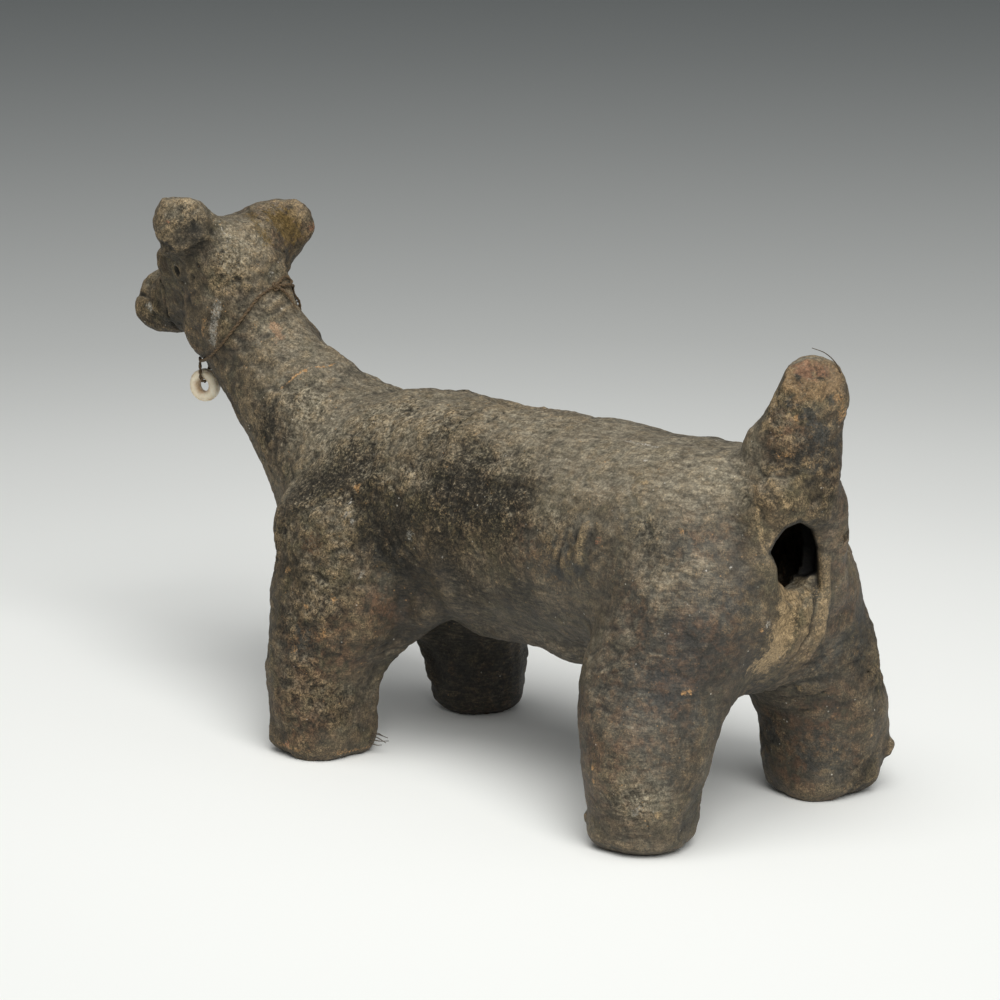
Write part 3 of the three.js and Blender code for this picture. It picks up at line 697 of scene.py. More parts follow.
def cut_vent(field, skin):
    """The vent's mouth, and the slope below it."""
    part, cells = slab_cells(VENT_MOUTH, VENT_MIDDLE, VENT_DEPTH)
    field[part] = -soft_min(-field[part], vent_distance(cells), VENT_EDGE)
    edge = on_skin(skin, [VENT_SLOPE_EDGE])
    facing = unit(slopes(skin, edge)[0] + (0, 0, VENT_SLOPE_TILT))
    part, cells = slab_cells(VENT_LIP, VENT_MIDDLE, VENT_DEPTH)
    lip = slab_distance(cells, VENT_LIP, VENT_MIDDLE, VENT_DEPTH, VENT_ROUNDING)
    slope = np.maximum(lip, (edge[0] - cells) @ facing)
    field[part] = -soft_min(-field[part], slope, VENT_SLOPE_ROUNDING)


def vent_distance(points):
    """Distance to the empty space of the vent."""
    mouth = slab_distance(points, VENT_MOUTH, VENT_MIDDLE, VENT_DEPTH, VENT_ROUNDING)
    return np.minimum(mouth, line_distance(points, np.array(VENT_BORE, float), VENT_RADIUS, VENT_RADIUS))


def local_cells(points, reach):
    """The part of the volume within reach of points, and the places of its cells."""
    first = np.maximum(((points.min(0) - reach - LOW) / VOXEL).astype(int), 0)
    last = np.minimum(((points.max(0) + reach - LOW) / VOXEL).astype(int) + 2, SHAPE)
    part = tuple(slice(a, b) for a, b in zip(first, last))
    places = np.stack(np.meshgrid(*(np.arange(a, b) for a, b in zip(first, last)), indexing="ij"), -1)
    return part, places * VOXEL + LOW


def line_distance(places, points, start_radius, end_radius):
    """Distance to the face of a tapering stroke along points."""
    least = np.full(places.shape[:-1], np.inf)
    count = max(len(points) - 1, 1)
    for k in range(count):
        a = points[k]
        step = points[min(k + 1, len(points) - 1)] - a
        share = np.clip(((places - a) @ step) / max(step @ step, TINY), 0, 1)
        radius = start_radius + (end_radius - start_radius) * (k + share) / count
        gap = np.linalg.norm(places - a - share[..., None] * step, axis=-1) - radius
        least = np.minimum(least, gap)
    return least


def soft_min(a, b, width):
    share = np.clip(0.5 + 0.5 * (b - a) / width, 0, 1)
    return b + (a - b) * share - width * share * (1 - share)


def cut(field, points, start_radius, end_radius, width=CUT_EDGE):
    part, places = local_cells(points, start_radius + 3)
    field[part] = -soft_min(-field[part], line_distance(places, points, start_radius, end_radius), width)


def daub(field, points, start_radius, end_radius, width=DAUB_EDGE):
    part, places = local_cells(points, start_radius + 4)
    field[part] = soft_min(field[part], line_distance(places, points, start_radius, end_radius), width)


def melt_lumps():
    """One skin over all lumps of clay, with each lump's own distance and the two nearest at each place."""
    heat = np.zeros(SHAPE, np.float32)
    nearest = np.full(SHAPE, FAR, np.float32)
    second = np.full(SHAPE, FAR, np.float32)
    owner = np.full(SHAPE, 255, np.uint8)
    lumps = {}
    for number, node in enumerate(CLAY_NODES):
        field, part = node_distance(node)
        lumps[node] = field, part
        heat[part] += np.exp(-field / FILLET)
        closer = field < nearest[part]
        second[part] = np.where(closer, nearest[part], np.minimum(second[part], field))
        nearest[part] = np.where(closer, field, nearest[part])
        owner[part] = np.where(closer, number, owner[part])
    skin = np.minimum(-FILLET * np.log(np.maximum(heat, 1e-6)), FAR)
    crisp = blurred(skin, CRISP_SMOOTHING)
    skin = blurred(skin, SMOOTHING)
    for place in CRISP_PLACES:
        part, cells = local_cells(np.array([place]), CRISP_REACH)
        share = smoothstep(CRISP_REACH, 0.5 * CRISP_REACH, gaps(cells, place))
        skin[part] += (share * (crisp[part] - skin[part])).astype(np.float32)
    return on_floor(skin), lumps, nearest, second, owner


def on_floor(field):
    """The field cut off at the floor."""
    height = LOW[2] + np.arange(SHAPE[2]) * VOXEL
    return np.maximum(field, -height.astype(np.float32))


def rework(skin):
    """The skin with its form moved in and out, and with the broken ends broken off."""
    formed = skin.copy()
    places = on_skin(skin, [swell[:2] for swell in SWELLS])
    for place, (_, _, reach, rise) in zip(places, SWELLS):
        part, cells = local_cells(place[None], reach)
        share = smoothstep(reach, 0, gaps(cells, place))
        formed[part] -= (rise * share).astype(np.float32)
    cut(formed, np.array(SADDLE_CUT, float), SADDLE_RADIUS, SADDLE_RADIUS, SADDLE_FILLET)
    for ear in EARS:
        add_ear(formed, *ear)
    for line, (_, start_radius, end_radius) in zip(traced_lines(skin, WEBS), WEBS):
        daub(formed, line, start_radius, end_radius, WEB_FILLET)
    for fill in RUMP_FILLS:
        daub(formed, np.array(fill, float), RUMP_FILL_RADIUS, RUMP_FILL_END, RUMP_FILLET)
    for place, facing in BREAKS:
        part, cells = local_cells(np.array([place]), BREAK_REACH)
        flat = cells.reshape(-1, 3)
        rough = BREAK_ROUGHNESS * layered(flat, 4.5, 21, 3)
        plane = (flat - place) @ unit(np.array(facing)) + rough
        near = gaps(flat, place) < BREAK_RADIUS
        plane = np.where(near, plane, -FAR).reshape(cells.shape[:-1]).astype(np.float32)
        formed[part] = -soft_min(-formed[part], -plane, BREAK_EDGE)
    return on_floor(formed)


def coarseness(points, places):
    """How granular the crust is, from where the photograph shows it, and guessed on the far side."""
    x, _, z = points.T
    wobble = summed(points, COARSE_WOBBLE)
    unseen = unseen_share(points)
    guess = 0.2 + 0.6 * smoothstep(-0.1, 0.5, layered(points, 30, 35, 2))
    rear = smoothstep(-40, -80, x)
    seen = COARSE_BASE + COARSE_ON_REAR * rear + COARSE_IN_PATCH * patches(points, places, wobble)
    belly = smoothstep(80, 55, z) * smoothstep(-100, -70, x) * smoothstep(30, 5, x)
    coarse = seen + 0.5 * unseen * (guess - 0.3) + COARSE_ON_BELLY * belly + 0.2 * noise(points, 18, 37)
    return np.clip(coarse, COARSE_LEAST, 1)


def roughen(skin):
    """The skin with hand-made lumps, dents, crust, pits and wiped bands."""
    near = np.nonzero(np.abs(skin) < SKIN)
    points = np.stack(near, 1) * VOXEL + LOW
    places = on_skin(skin, [spot[:2] for spot in CRUST_PATCHES])
    crust = coarseness(points, [(place, spot[2]) for place, spot in zip(places, CRUST_PATCHES)])
    legs = smoothstep(70, 50, points[:, 2])
    bands = noise(points * BAND_STRETCH, 6, 41) * (BAND_HEIGHT + BAND_ON_LEGS * legs)
    folds = np.abs(noise(points * CREASE_STRETCH, 9, 43))
    creases = np.clip(CREASE_WIDTH - folds, 0, 1) / CREASE_WIDTH
    creases = creases * smoothstep(-0.2, 0.4, noise(points, 22, 44))
    lumps = summed(points, CRUST_LUMPS)
    grit = summed(points, CRUST_GRIT)
    pits = np.clip(noise(points, 3.6, 6) - PIT_LEVEL, 0, 1)
    cracks = np.clip(CRACK_WIDTH - np.abs(layered(points, 15, 9, 2)), 0, 1) / CRACK_WIDTH
    rise = lumps + bands + (GRIT_HEIGHT + GRIT_IF_COARSE * crust) * grit - CREASE_DEPTH * creases
    rise = rise - PIT_IF_COARSE * crust * pits - (CRACK_DEPTH + CRACK_IF_COARSE * crust) * cracks
    rough = skin.copy()
    rough[near] -= rise.astype(np.float32)
    return on_floor(rough)


def work_details(clay, skin):
    """Cracks, pits and added clay, where the photograph shows them."""
    for line, (_, start_radius, end_radius) in zip(traced_lines(skin, DAUBS), DAUBS):
        daub(clay, line, start_radius, end_radius)
    for line, (_, start_radius, end_radius) in zip(traced_lines(skin, CUTS), CUTS):
        cut(clay, line, start_radius, end_radius)
    cut_vent(clay, skin)
    cut(clay, np.array(MOUTH_CUT, float), MOUTH_RADIUS, MOUTH_RADIUS)
    middle = (CAD_BOX[0][1] + CAD_BOX[1][1]) / 2 / MM
    pits = EYE_PITS + EAR_PITS
    places = on_skin(skin, [pit[:2] for pit in pits])
    inward = places - slopes(skin, places) * [[radius] for _, _, radius in pits]
    for number, (_, _, radius) in enumerate(pits):
        hole = np.stack([places[number], inward[number]])
        cut(clay, hole, radius, PIT_TAPER * radius)
        if number < len(EYE_PITS):
            mirrored = hole * (1, -1, 1) + (FAR_PIT_SHIFT[0], 2 * middle, FAR_PIT_SHIFT[1])
            cut(clay, mirrored, FAR_PIT_SCALE * radius, FAR_PIT_TAPER * radius)


def piece_mesh(name, field, first):
    """A mesh piece from part of a distance volume."""
    grid = vdb.FloatGrid(MESH_BAND)
    grid.copyFromArray(np.clip(field, -MESH_BAND, MESH_BAND), ijk=(0, 0, 0), tolerance=0)
    grid.transform = vdb.createLinearTransform(VOXEL)
    grid.gridClass = vdb.GridClass.LEVEL_SET
    points, quads = grid.convertToQuads(0.0)
    points = points + first * VOXEL + LOW
    mesh = bpy.data.meshes.new(name)
    mesh.vertices.add(len(points))
    mesh.vertices.foreach_set("co", (points * MM).astype(np.float32).ravel())
    mesh.loops.add(quads.size)
    mesh.loops.foreach_set("vertex_index", quads[:, ::-1].astype(np.int32).ravel())
    mesh.polygons.add(len(quads))
    mesh.polygons.foreach_set("loop_start", np.arange(0, quads.size, 4, dtype=np.int32))
    mesh.update(calc_edges=True)
    mesh.polygons.foreach_set("use_smooth", np.ones(len(quads), bool))
    return add_object(name, mesh), points


def cut_apart(clay, lumps, nearest, second, owner):
    """One closed piece for each lump. A piece dives a little under its neighbour past their seam."""
    pieces = {}
    for number, node in enumerate(CLAY_NODES):
        own, part = lumps[node]
        mine = owner[part] == number
        past = np.where(mine, nearest[part] - second[part], own - nearest[part]) / 2
        dive = DIVE * np.clip(past / VOXEL, 0, 1)
        field = np.maximum(clay[part] + dive, past - OVERLAP)
        first = np.array([s.start for s in part])
        pieces[node] = piece_mesh(f"clay_{node}", field, first)
    return pieces


def set_colour(mesh, name, values):
    attribute = mesh.attributes.new(name, "FLOAT_COLOR", "POINT")
    attribute.data.foreach_set("color", values.astype(np.float32).ravel())


def patches(points, places, wobble, strength=1.0):
    """Soft irregular patches round places, which add up where they overlap."""
    clear = np.ones(len(points))
    for place, radius in places:
        near = np.abs(points - place).max(1) < 2.4 * radius
        gap = gaps(points[near], place) / radius + wobble[near]
        clear[near] *= 1 - strength * np.exp(-np.maximum(gap, 0) ** 2)
    return 1 - clear


def add_mark(colour, amount, tint):
    """Lays one mark over those already there. The last column is how strongly the marks cover the clay."""
    cover = np.maximum(colour[:, 3], amount)
    share = amount / np.maximum(cover, 1e-6)
    colour[:, :3] += (np.array(tint) - colour[:, :3]) * share[:, None]
    colour[:, 3] = cover


def paint(piece, points, clay, curve, closed, marks):
    """Masks for the clay's colours: dust with painted top light, soot with painted shade, rust and slate,
    its relief, and the marks.
    """
    facing = slopes(clay, points)
    bend = sampled(curve, points) - sampled(clay, points)
    hidden = sampled(closed, points)
    broad = layered(points, 34, 51, 3)
    fine = layered(points, 8, 61, 3)
    wobble = 0.35 * broad + 0.35 * fine
    unseen = unseen_share(points)
    upward = smoothstep(0.1, 0.95, facing[:, 2])
    downward = smoothstep(-0.1, -0.8, facing[:, 2])
    guess = [unseen * smoothstep(-0.1, 0.6, layered(points, 30, seed, 3)) for seed in (71, 74, 77)]
    # Dust, and painted top light: faces turned up are made paler
    dust_and_top_light = np.maximum(patches(points, marks["dust_and_top_light"], wobble), 0.75 * upward + 0.3 * fine)
    dust_and_top_light = np.clip(dust_and_top_light + 0.02 + 0.25 * broad, 0, 1)
    soot_and_shade = np.maximum(patches(points, marks["soot_and_shade"], wobble, SOOT_AND_SHADE_IN_PATCH), SOOT_GUESSED * guess[0])
    soot_and_shade = np.maximum(soot_and_shade, patches(points, marks["shade"], wobble, SHADE_STRENGTH))
    bore = vent_distance(points)
    hollows = smoothstep(0.56, 0.74, hidden)
    # Painted shade: darker on faces turned down, in enclosed hollows and inside the vent's bore
    soot_and_shade = soot_and_shade + SHADE_BELOW * downward + SHADE_IN_HOLLOWS * hollows + smoothstep(1.2, 0.2, bore)
    # Darker towards the bottom, on the legs
    soot_and_shade = np.clip(soot_and_shade + DARKER_LOW_DOWN * smoothstep(75, 45, points[:, 2]), 0, 1)
    rust = np.maximum(patches(points, marks["rust"], wobble), guess[1])
    rust = np.clip(rust + 0.2 + 0.35 * fine, 0, 1)
    slate = np.clip(np.maximum(patches(points, marks["slate"], wobble), guess[2]) + 0.3 * fine, 0, 1)
    # The coat: dust with painted top light, soot with painted shade, rust and slate
    set_colour(piece.data, "coat_and_shading", np.stack([dust_and_top_light, soot_and_shade, rust, slate], 1))
    raised = np.clip(bend / RELIEF_HEIGHT, -1, 1)
    coarse = coarseness(points, marks["crust"])
    relief = np.stack([np.maximum(raised, 0), np.maximum(-raised, 0), hidden, coarse], 1)
    set_colour(piece.data, "relief", relief)
    colour = np.zeros((len(points), 4))
    ragged = summed(points, RAGGED)
    blotched = 0.7 * noise(points, 5.5, 65) + 0.3 * ragged
    for place, facing_out in BREAKS:
        plane = (points - place) @ unit(np.array(facing_out))
        near = smoothstep(12, 9, gaps(points, place))
        worn = near * smoothstep(-3.0, -0.5, plane + 1.2 * ragged)
        add_mark(colour, BREAK_STRENGTH * worn, BREAK_TINT)
    # Painted shade inside the vent, near black, deepening inward
    inward = (points - np.array(VENT_MIDDLE)) @ camera_axes()[2]
    add_mark(colour, smoothstep(0.9, 0.2, bore) * smoothstep(0, 5, inward), VENT_SHADE)
    for place, radius, tint, strength in marks["spots"]:
        gap = gaps(points, place) / radius
        add_mark(colour, strength * smoothstep(1.2, 0.5, gap + ragged), tint)
    for places, radius, tint, strength in marks["lines"]:
        gap = line_distance(points, places, radius, radius) / radius
        gap = gap + ragged + min(radius / 3, 1) * blotched
        add_mark(colour, strength * smoothstep(0.5, -0.6, gap), tint)
    set_colour(piece.data, "mark", colour)
    piece.data.normals_split_custom_set_from_vertices(facing.tolist())


class Graph:
    """A material's nodes, joined by short calls. An input that is a socket is linked, any other is set."""

    def __init__(self, name):
        self.material = bpy.data.materials.new(name)
        self.material.use_nodes = True
        self.tree = self.material.node_tree
        self.tree.nodes.clear()

    def put(self, socket, value):
        if isinstance(value, bpy.types.NodeSocket):
            self.tree.links.new(value, socket)
        elif hasattr(value, "__len__") and len(value) == 3 and socket.type == "RGBA":
            socket.default_value = (*value, 1)
        else:
            socket.default_value = value

    def node(self, kind, inputs=(), **settings):
        made = self.tree.nodes.new(f"ShaderNode{kind}")
        for key, value in settings.items():
            setattr(made, key, value)
        for key, value in dict(inputs).items():
            self.put(made.inputs[key], value)
        return made

    def maths(self, operation, a, b=0.0):
        return self.node("Math", {0: a, 1: b}, operation=operation).outputs[0]

    def times(self, a, b):
        return self.maths("MULTIPLY", a, b)

    def plus(self, a, b):
        return self.maths("ADD", a, b)

    def mix(self, factor, a, b, blend="MIX"):
        inputs = {0: factor, COLOUR_A: a, COLOUR_B: b}
        return self.node("Mix", inputs, data_type="RGBA", blend_type=blend).outputs[COLOUR_RESULT]

    def ramp(self, value, low, high, to_low=0.0, to_high=1.0):
        return self.node("MapRange", {0: value, 1: low, 2: high, 3: to_low, 4: to_high}).outputs[0]

    def grain(self, size, detail=3.0, roughness=0.6, stretch=(1, 1, 1)):
        """Noise of 0 to 1 whose lumps have the given size in mm."""
        places = self.node("Mapping", {"Vector": self.places, "Scale": stretch}).outputs[0]
        inputs = {"Vector": places, "Scale": 1 / (size * MM), "Detail": detail, "Roughness": roughness}
        return self.node("TexNoise", inputs).outputs[0]

    @property
    def places(self):
        return self.node("TexCoord").outputs["Object"]

    def attribute(self, name):
        return self.node("Attribute", attribute_name=name)

    def finish(self, shader):
        output = self.node("OutputMaterial")
        self.tree.links.new(shader.outputs[0], output.inputs["Surface"])
        return self.material

    def principled(self, inputs):
        return self.finish(self.node("BsdfPrincipled", inputs))


def clay_material(name, earth):
    """Low-fired clay under a crust of dust and soot, with painted shade and painted top light, from the
    masks painted on each piece.
    """
    g = Graph(name)
    coat_and_shading = g.attribute("coat_and_shading")
    dust_and_top_light, soot_and_shade, rust = g.node("SeparateColor", {0: coat_and_shading.outputs["Color"]}).outputs
    slate = coat_and_shading.outputs["Alpha"]
    relief = g.attribute("relief")
    raised, sunken, _ = g.node("SeparateColor", {0: relief.outputs["Color"]}).outputs
    crust = relief.outputs["Alpha"]
    cloud = g.grain(8.0, detail=6, roughness=0.66)
    drift = g.grain(11.0, detail=6, roughness=0.66)
    streak = g.grain(1.3, detail=5, roughness=0.7, stretch=(0.3, 0.45, 1.4))
    coarse = g.grain(1.5, detail=4, roughness=0.7)
    grit = g.grain(1.0, detail=3, roughness=0.7)
    fine = g.grain(0.45, detail=3, roughness=0.6)
    mottle = g.grain(3.6, detail=5, roughness=0.68)
    granular = g.ramp(crust, 0.15, 0.85)
    colour = g.mix(g.ramp(cloud, 0.36, 0.64), earth, SHADE)
    colour = g.mix(g.ramp(drift, 0.50, 0.60, 0.0, 0.7), colour, OLIVE)
    colour = g.mix(g.times(rust, g.ramp(mottle, 0.42, 0.58)), colour, RUST)
    colour = g.mix(g.times(slate, g.ramp(mottle, 0.58, 0.44)), colour, SLATE)
    wiped = g.ramp(streak, 0.36, 0.60, 0.30, 1.0)
    sifted = g.ramp(coarse, 0.36, 0.60, 0.25, 1.0)
    settled = g.node("Mix", {0: granular, 2: wiped, 3: sifted}).outputs[0]
    # Dust, and painted top light on faces turned up
    colour = g.mix(g.times(dust_and_top_light, settled), colour, DUST_AND_TOP_LIGHT)
    edge = g.times(raised, g.ramp(fine, 0.35, 0.6, 0.05, 0.6))
    colour = g.mix(g.times(edge, g.ramp(soot_and_shade, 0, 1, 1.0, 0.35)), colour, SAND)
    patchy = g.times(g.ramp(cloud, 0.35, 0.65, -0.12, 0.12), granular)
    density = g.plus(g.ramp(soot_and_shade, 0, 1, 0.24, 0.9), patchy)
    level = g.ramp(density, 0, 1, 0.33, 0.68)
    grains = g.ramp(grit, g.plus(level, 0.05), g.maths("SUBTRACT", level, 0.05))
    even = g.times(g.ramp(soot_and_shade, 0, 1, 0.20, 0.86), g.ramp(streak, 0.36, 0.62, 1.5, 0.5))
    dark = g.node("Mix", {0: granular, 2: even, 3: grains}).outputs[0]
    # Soot, and the painted shade carried in the same mask, laid on as dark grains
    colour = g.mix(g.times(dark, g.ramp(soot_and_shade, 0, 1, 0.75, 0.92)), colour, SOOT_AND_SHADE)
    # Painted shade in the sunken relief: creases and dents darkened towards black
    colour = g.mix(g.times(sunken, 0.7), colour, SOOT_AND_SHADE)
    cells = g.node("TexVoronoi", {"Vector": g.places, "Scale": 1 / (1.1 * MM)})
    lot = g.node("SeparateColor", {0: cells.outputs["Color"]}).outputs
    speck = g.maths("LESS_THAN", cells.outputs["Distance"], 0.26)
    pale = g.times(speck, g.maths("GREATER_THAN", lot[0], 0.975))
    colour = g.mix(g.times(pale, g.ramp(cloud, 0.48, 0.66, 0.0, 0.7)), colour, CHALK)
    warm = g.times(speck, g.maths("GREATER_THAN", lot[1], 0.95))
    colour = g.mix(g.times(warm, g.ramp(cloud, 0.55, 0.38, 0.0, 0.5)), colour, OCHRE)
    mark = g.attribute("mark")
    bleed = g.grain(0.7, detail=3, roughness=0.7)
    level = g.ramp(mark.outputs["Alpha"], 0, 1, 0.28, 0.72)
    stain = g.ramp(bleed, g.plus(level, 0.12), g.maths("SUBTRACT", level, 0.12))
    colour = g.mix(g.times(stain, 0.85), colour, mark.outputs["Color"])
    sand = g.node("TexVoronoi", {"Vector": g.places, "Scale": 1 / (0.7 * MM)})
    own = g.node("SeparateColor", {0: sand.outputs["Color"]}).outputs[2]
    contrast = g.ramp(crust, 0.1, 0.9, 0.24, 0.38)
    light = g.plus(g.times(g.ramp(fine, 0.3, 0.7, -1.0, 1.0), contrast), 1.0)
    grain_light = g.plus(g.times(g.ramp(own, 0, 1, -1.0, 1.0), contrast), 1.0)
    tone = g.times(light, grain_light)
    tone = g.times(tone, g.ramp(grit, 0.34, 0.66, 0.82, 1.18))
    tone = g.times(tone, g.ramp(coarse, 0.34, 0.66, 0.78, 1.22))
    tone = g.times(tone, g.ramp(mottle, 0.34, 0.66, 0.80, 1.20))
    colour = g.mix(1.0, colour, g.node("CombineColor", {0: tone, 1: tone, 2: tone}).outputs[0], "MULTIPLY")
    height = g.plus(g.times(grit, 0.6), g.times(fine, 0.3))
    height = g.plus(height, g.times(streak, 0.3))
    strength = g.ramp(crust, 0, 0.9, 0.45, 1.0)
    bump = g.node("Bump", {"Strength": strength, "Distance": 1.3 * MM, "Height": height})
    rough = g.plus(g.ramp(crust, 0.0, 0.7, 0.56, 0.86), g.times(dust_and_top_light, 0.1))
    inputs = {
        "Base Color": colour, "Roughness": rough, "Normal": bump.outputs[0],
        "Specular IOR Level": g.ramp(crust, 0, 0.7, 0.42, 0.2),
    }
    return g.principled(inputs)


def twine_material():
    g = Graph("twine")
    colour = g.mix(g.ramp(g.grain(0.5, detail=4), 0.3, 0.7), TWINE_DARK, TWINE_PALE)
    bump = g.node("Bump", {"Strength": 0.6, "Distance": 0.1 * MM, "Height": g.grain(0.25, detail=2)})
    inputs = {"Base Color": colour, "Roughness": 0.7, "Normal": bump.outputs[0]}
    return g.principled(inputs)


def shell_material():
    g = Graph("shell")
    stain = g.attribute("stain").outputs["Fac"]
    cloud = g.grain(2.4, detail=4)
    colour = g.mix(g.ramp(cloud, 0.35, 0.7), IVORY, WORN_IVORY)
    colour = g.mix(g.times(stain, g.ramp(cloud, 0.25, 0.6, 0.35, 1.0)), colour, IVORY_STAIN)
    bump = g.node("Bump", {"Strength": 0.25, "Distance": 0.15 * MM, "Height": g.grain(0.9, detail=3)})
    inputs = {
        "Base Color": colour, "Roughness": g.ramp(cloud, 0.3, 0.7, 0.38, 0.6), "Normal": bump.outputs[0],
        "Subsurface Weight": 0.15, "Subsurface Radius": (1.0, 0.7, 0.45), "Subsurface Scale": 1.0 * MM,
    }
    return g.principled(inputs)


def smooth_line(points, step):
    """Points a step apart on a smooth curve through the given ones."""
    points = np.array(points, float)
    padded = np.concatenate([2 * points[:1] - points[1:2], points, 2 * points[-1:] - points[-2:-1]])
    fine = []
    for a, b, c, d in zip(padded, padded[1:], padded[2:], padded[3:]):
        count = max(2, math.ceil(np.linalg.norm(c - b) / step))
        t = np.linspace(0, 1, count, endpoint=False)[:, None]
        fine.append(0.5 * (2 * b + (c - a) * t + (2 * a - 5 * b + 4 * c - d) * t**2
                           + (3 * b - a - 3 * c + d) * t**3))
    return np.concatenate([*fine, points[-1:]])


def travelled_along(line):
    """Length of a line up to each of its points."""
    return np.concatenate([[0], np.cumsum(np.linalg.norm(np.diff(line, axis=0), axis=1))])


def frames_along(line):
    """Two directions square to a line at each of its points, turning as little as they can."""
    along = np.gradient(line, axis=0)
    along /= np.linalg.norm(along, axis=1, keepdims=True)
    side = unit(np.cross(along[0], (0.31, 0.2, 0.93)))
    sides = []
    for tangent in along:
        side = unit(side - tangent * (side @ tangent))
        sides.append(side)
    sides = np.array(sides)
    return sides, np.cross(along, sides)


def tube(line, radii, sides=8):
    """Vertices and faces of a closed tube."""
    first, second = frames_along(line)
    turn = np.linspace(0, 2 * np.pi, sides, endpoint=False)
    ring = np.cos(turn)[None, :, None] * first[:, None] + np.sin(turn)[None, :, None] * second[:, None]
    vertices = (line[:, None] + ring * np.broadcast_to(radii, len(line))[:, None, None]).reshape(-1, 3)
    faces = []
    for k in range(len(line) - 1):
        for s in range(sides):
            t = (s + 1) % sides
            faces.append((k * sides + s, k * sides + t, (k + 1) * sides + t, (k + 1) * sides + s))
    faces.append(tuple(reversed(range(sides))))
    faces.append(tuple(range((len(line) - 1) * sides, len(line) * sides)))
    return vertices, faces


def twisted(points, radius, plies=2, pitch=PLY_PITCH, seed=0):
    """Plies of twine wound round a route, as lines and their radii."""
    line = smooth_line(points, CORD_STEP)
    first, second = frames_along(line)
    travelled = travelled_along(line)
    strands = []
    for ply in range(plies):
        turn = 2 * np.pi * (travelled / pitch + ply / plies)
        wander = 1 + 0.12 * noise(line, 3, seed + ply)
        offset = first * np.cos(turn)[:, None] + second * np.sin(turn)[:, None]
        strands.append((line + offset * (0.45 * radius * wander)[:, None], 0.58 * radius * wander))
    return strands


def strands_piece(name, strands, sides=8):
    vertices = []
    faces = []
    for line, radii in strands:
        new_vertices, new_faces = tube(line, radii, sides)
        start = sum(len(v) for v in vertices)
        vertices.append(new_vertices)
        faces += [tuple(start + i for i in face) for face in new_faces]
    mesh = bpy.data.meshes.new(name)
    mesh.from_pydata((np.concatenate(vertices) * MM).tolist(), [], faces)
    mesh.polygons.foreach_set("use_smooth", np.ones(len(mesh.polygons), bool))
    return add_object(name, mesh)


def collar_origin():
    """The skull's middle, from which the neck cord's places are measured."""
    low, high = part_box("shell_bead")
    return np.array((low + high) / 2) / MM - BEAD_CENTRE


def bead_axis():
    turn = math.radians(BEAD_YAW)
    return np.array([-math.sin(turn), math.cos(turn), 0])


def drop_route():
    """The bight of cord through the bead, down one side and up the other."""
    half = BEAD_THICKNESS / 2 + DROP_CLEARANCE + CORD_RADIUS
    bend_z = BEAD_CENTRE[2] + BEAD_HOLE / 2 - DROP_CLEARANCE - CORD_RADIUS + half
    middle = np.array([BEAD_CENTRE[0], BEAD_CENTRE[1], 0])
    turns = np.linspace(0, np.pi, 9)
    bend = [(half * math.cos(t), bend_z - half * math.sin(t)) for t in turns]
    straight = [DROP_TOP_Z, (DROP_TOP_Z + bend_z) / 2]
    route = [(half, z) for z in straight] + bend + [(-half, z) for z in reversed(straight)]
    return [middle + bead_axis() * side + (0, 0, z) for side, z in route]


def knot_route(radius):
    """A trefoil, which is the knot that the cord is tied in."""
    turn = np.linspace(0, 2 * np.pi, 60)
    x = np.sin(turn) + 2 * np.sin(2 * turn)
    y = np.cos(turn) - 2 * np.cos(2 * turn)
    z = -1.2 * np.sin(3 * turn)
    return np.stack([0.5 * z, x, y], 1) * radius / 3 + KNOT_CENTRE


def laid(route, curve, held):
    """A route in the frame, moved to lie on the clay except at its held ends."""
    line = smooth_line(np.array(route, float) + collar_origin(), 1.5)
    lifted = KNOT_LIFT * smoothstep(-20, -9, line[:, 2] - collar_origin()[2])
    line[:, 2] += lifted
    travelled = travelled_along(line)
    free = np.ones(len(line))
    if held in ("start", "both"):
        free *= smoothstep(0.5, HELD_LENGTH, travelled)
    if held in ("end", "both"):
        free *= smoothstep(0.5, HELD_LENGTH, travelled[-1] - travelled)
    for _ in range(SETTLING_STEPS):
        gap = sampled(curve, line) - CORD_LIFT
        line = line - slopes(curve, line) * (gap * free)[:, None]
    line[1:-1] = (line[:-2] + 2 * line[1:-1] + line[2:]) / 4
    return line


def knot_parts(curve):
    """The knot, its bow and its loose end, drawn tight and set down on the nape."""
    centre = laid([KNOT_CENTRE, np.array(KNOT_CENTRE) + (0, 0.1, 0)], curve, "")[0]
    centre = centre + slopes(curve, centre[None])[0] * KNOT_RISE
    routes = []
    for route, scale in ((BOW_LOOP, BOW_SCALE), (LOOSE_END, LOOSE_SCALE)):
        line = centre + (np.array(route, float) - KNOT_CENTRE) * scale
        line = smooth_line(line, 0.8)
        sunk = np.minimum(sampled(curve, line) - CORD_LIFT, 0)
        routes.append(line - slopes(curve, line) * sunk[:, None])
    return centre, *routes


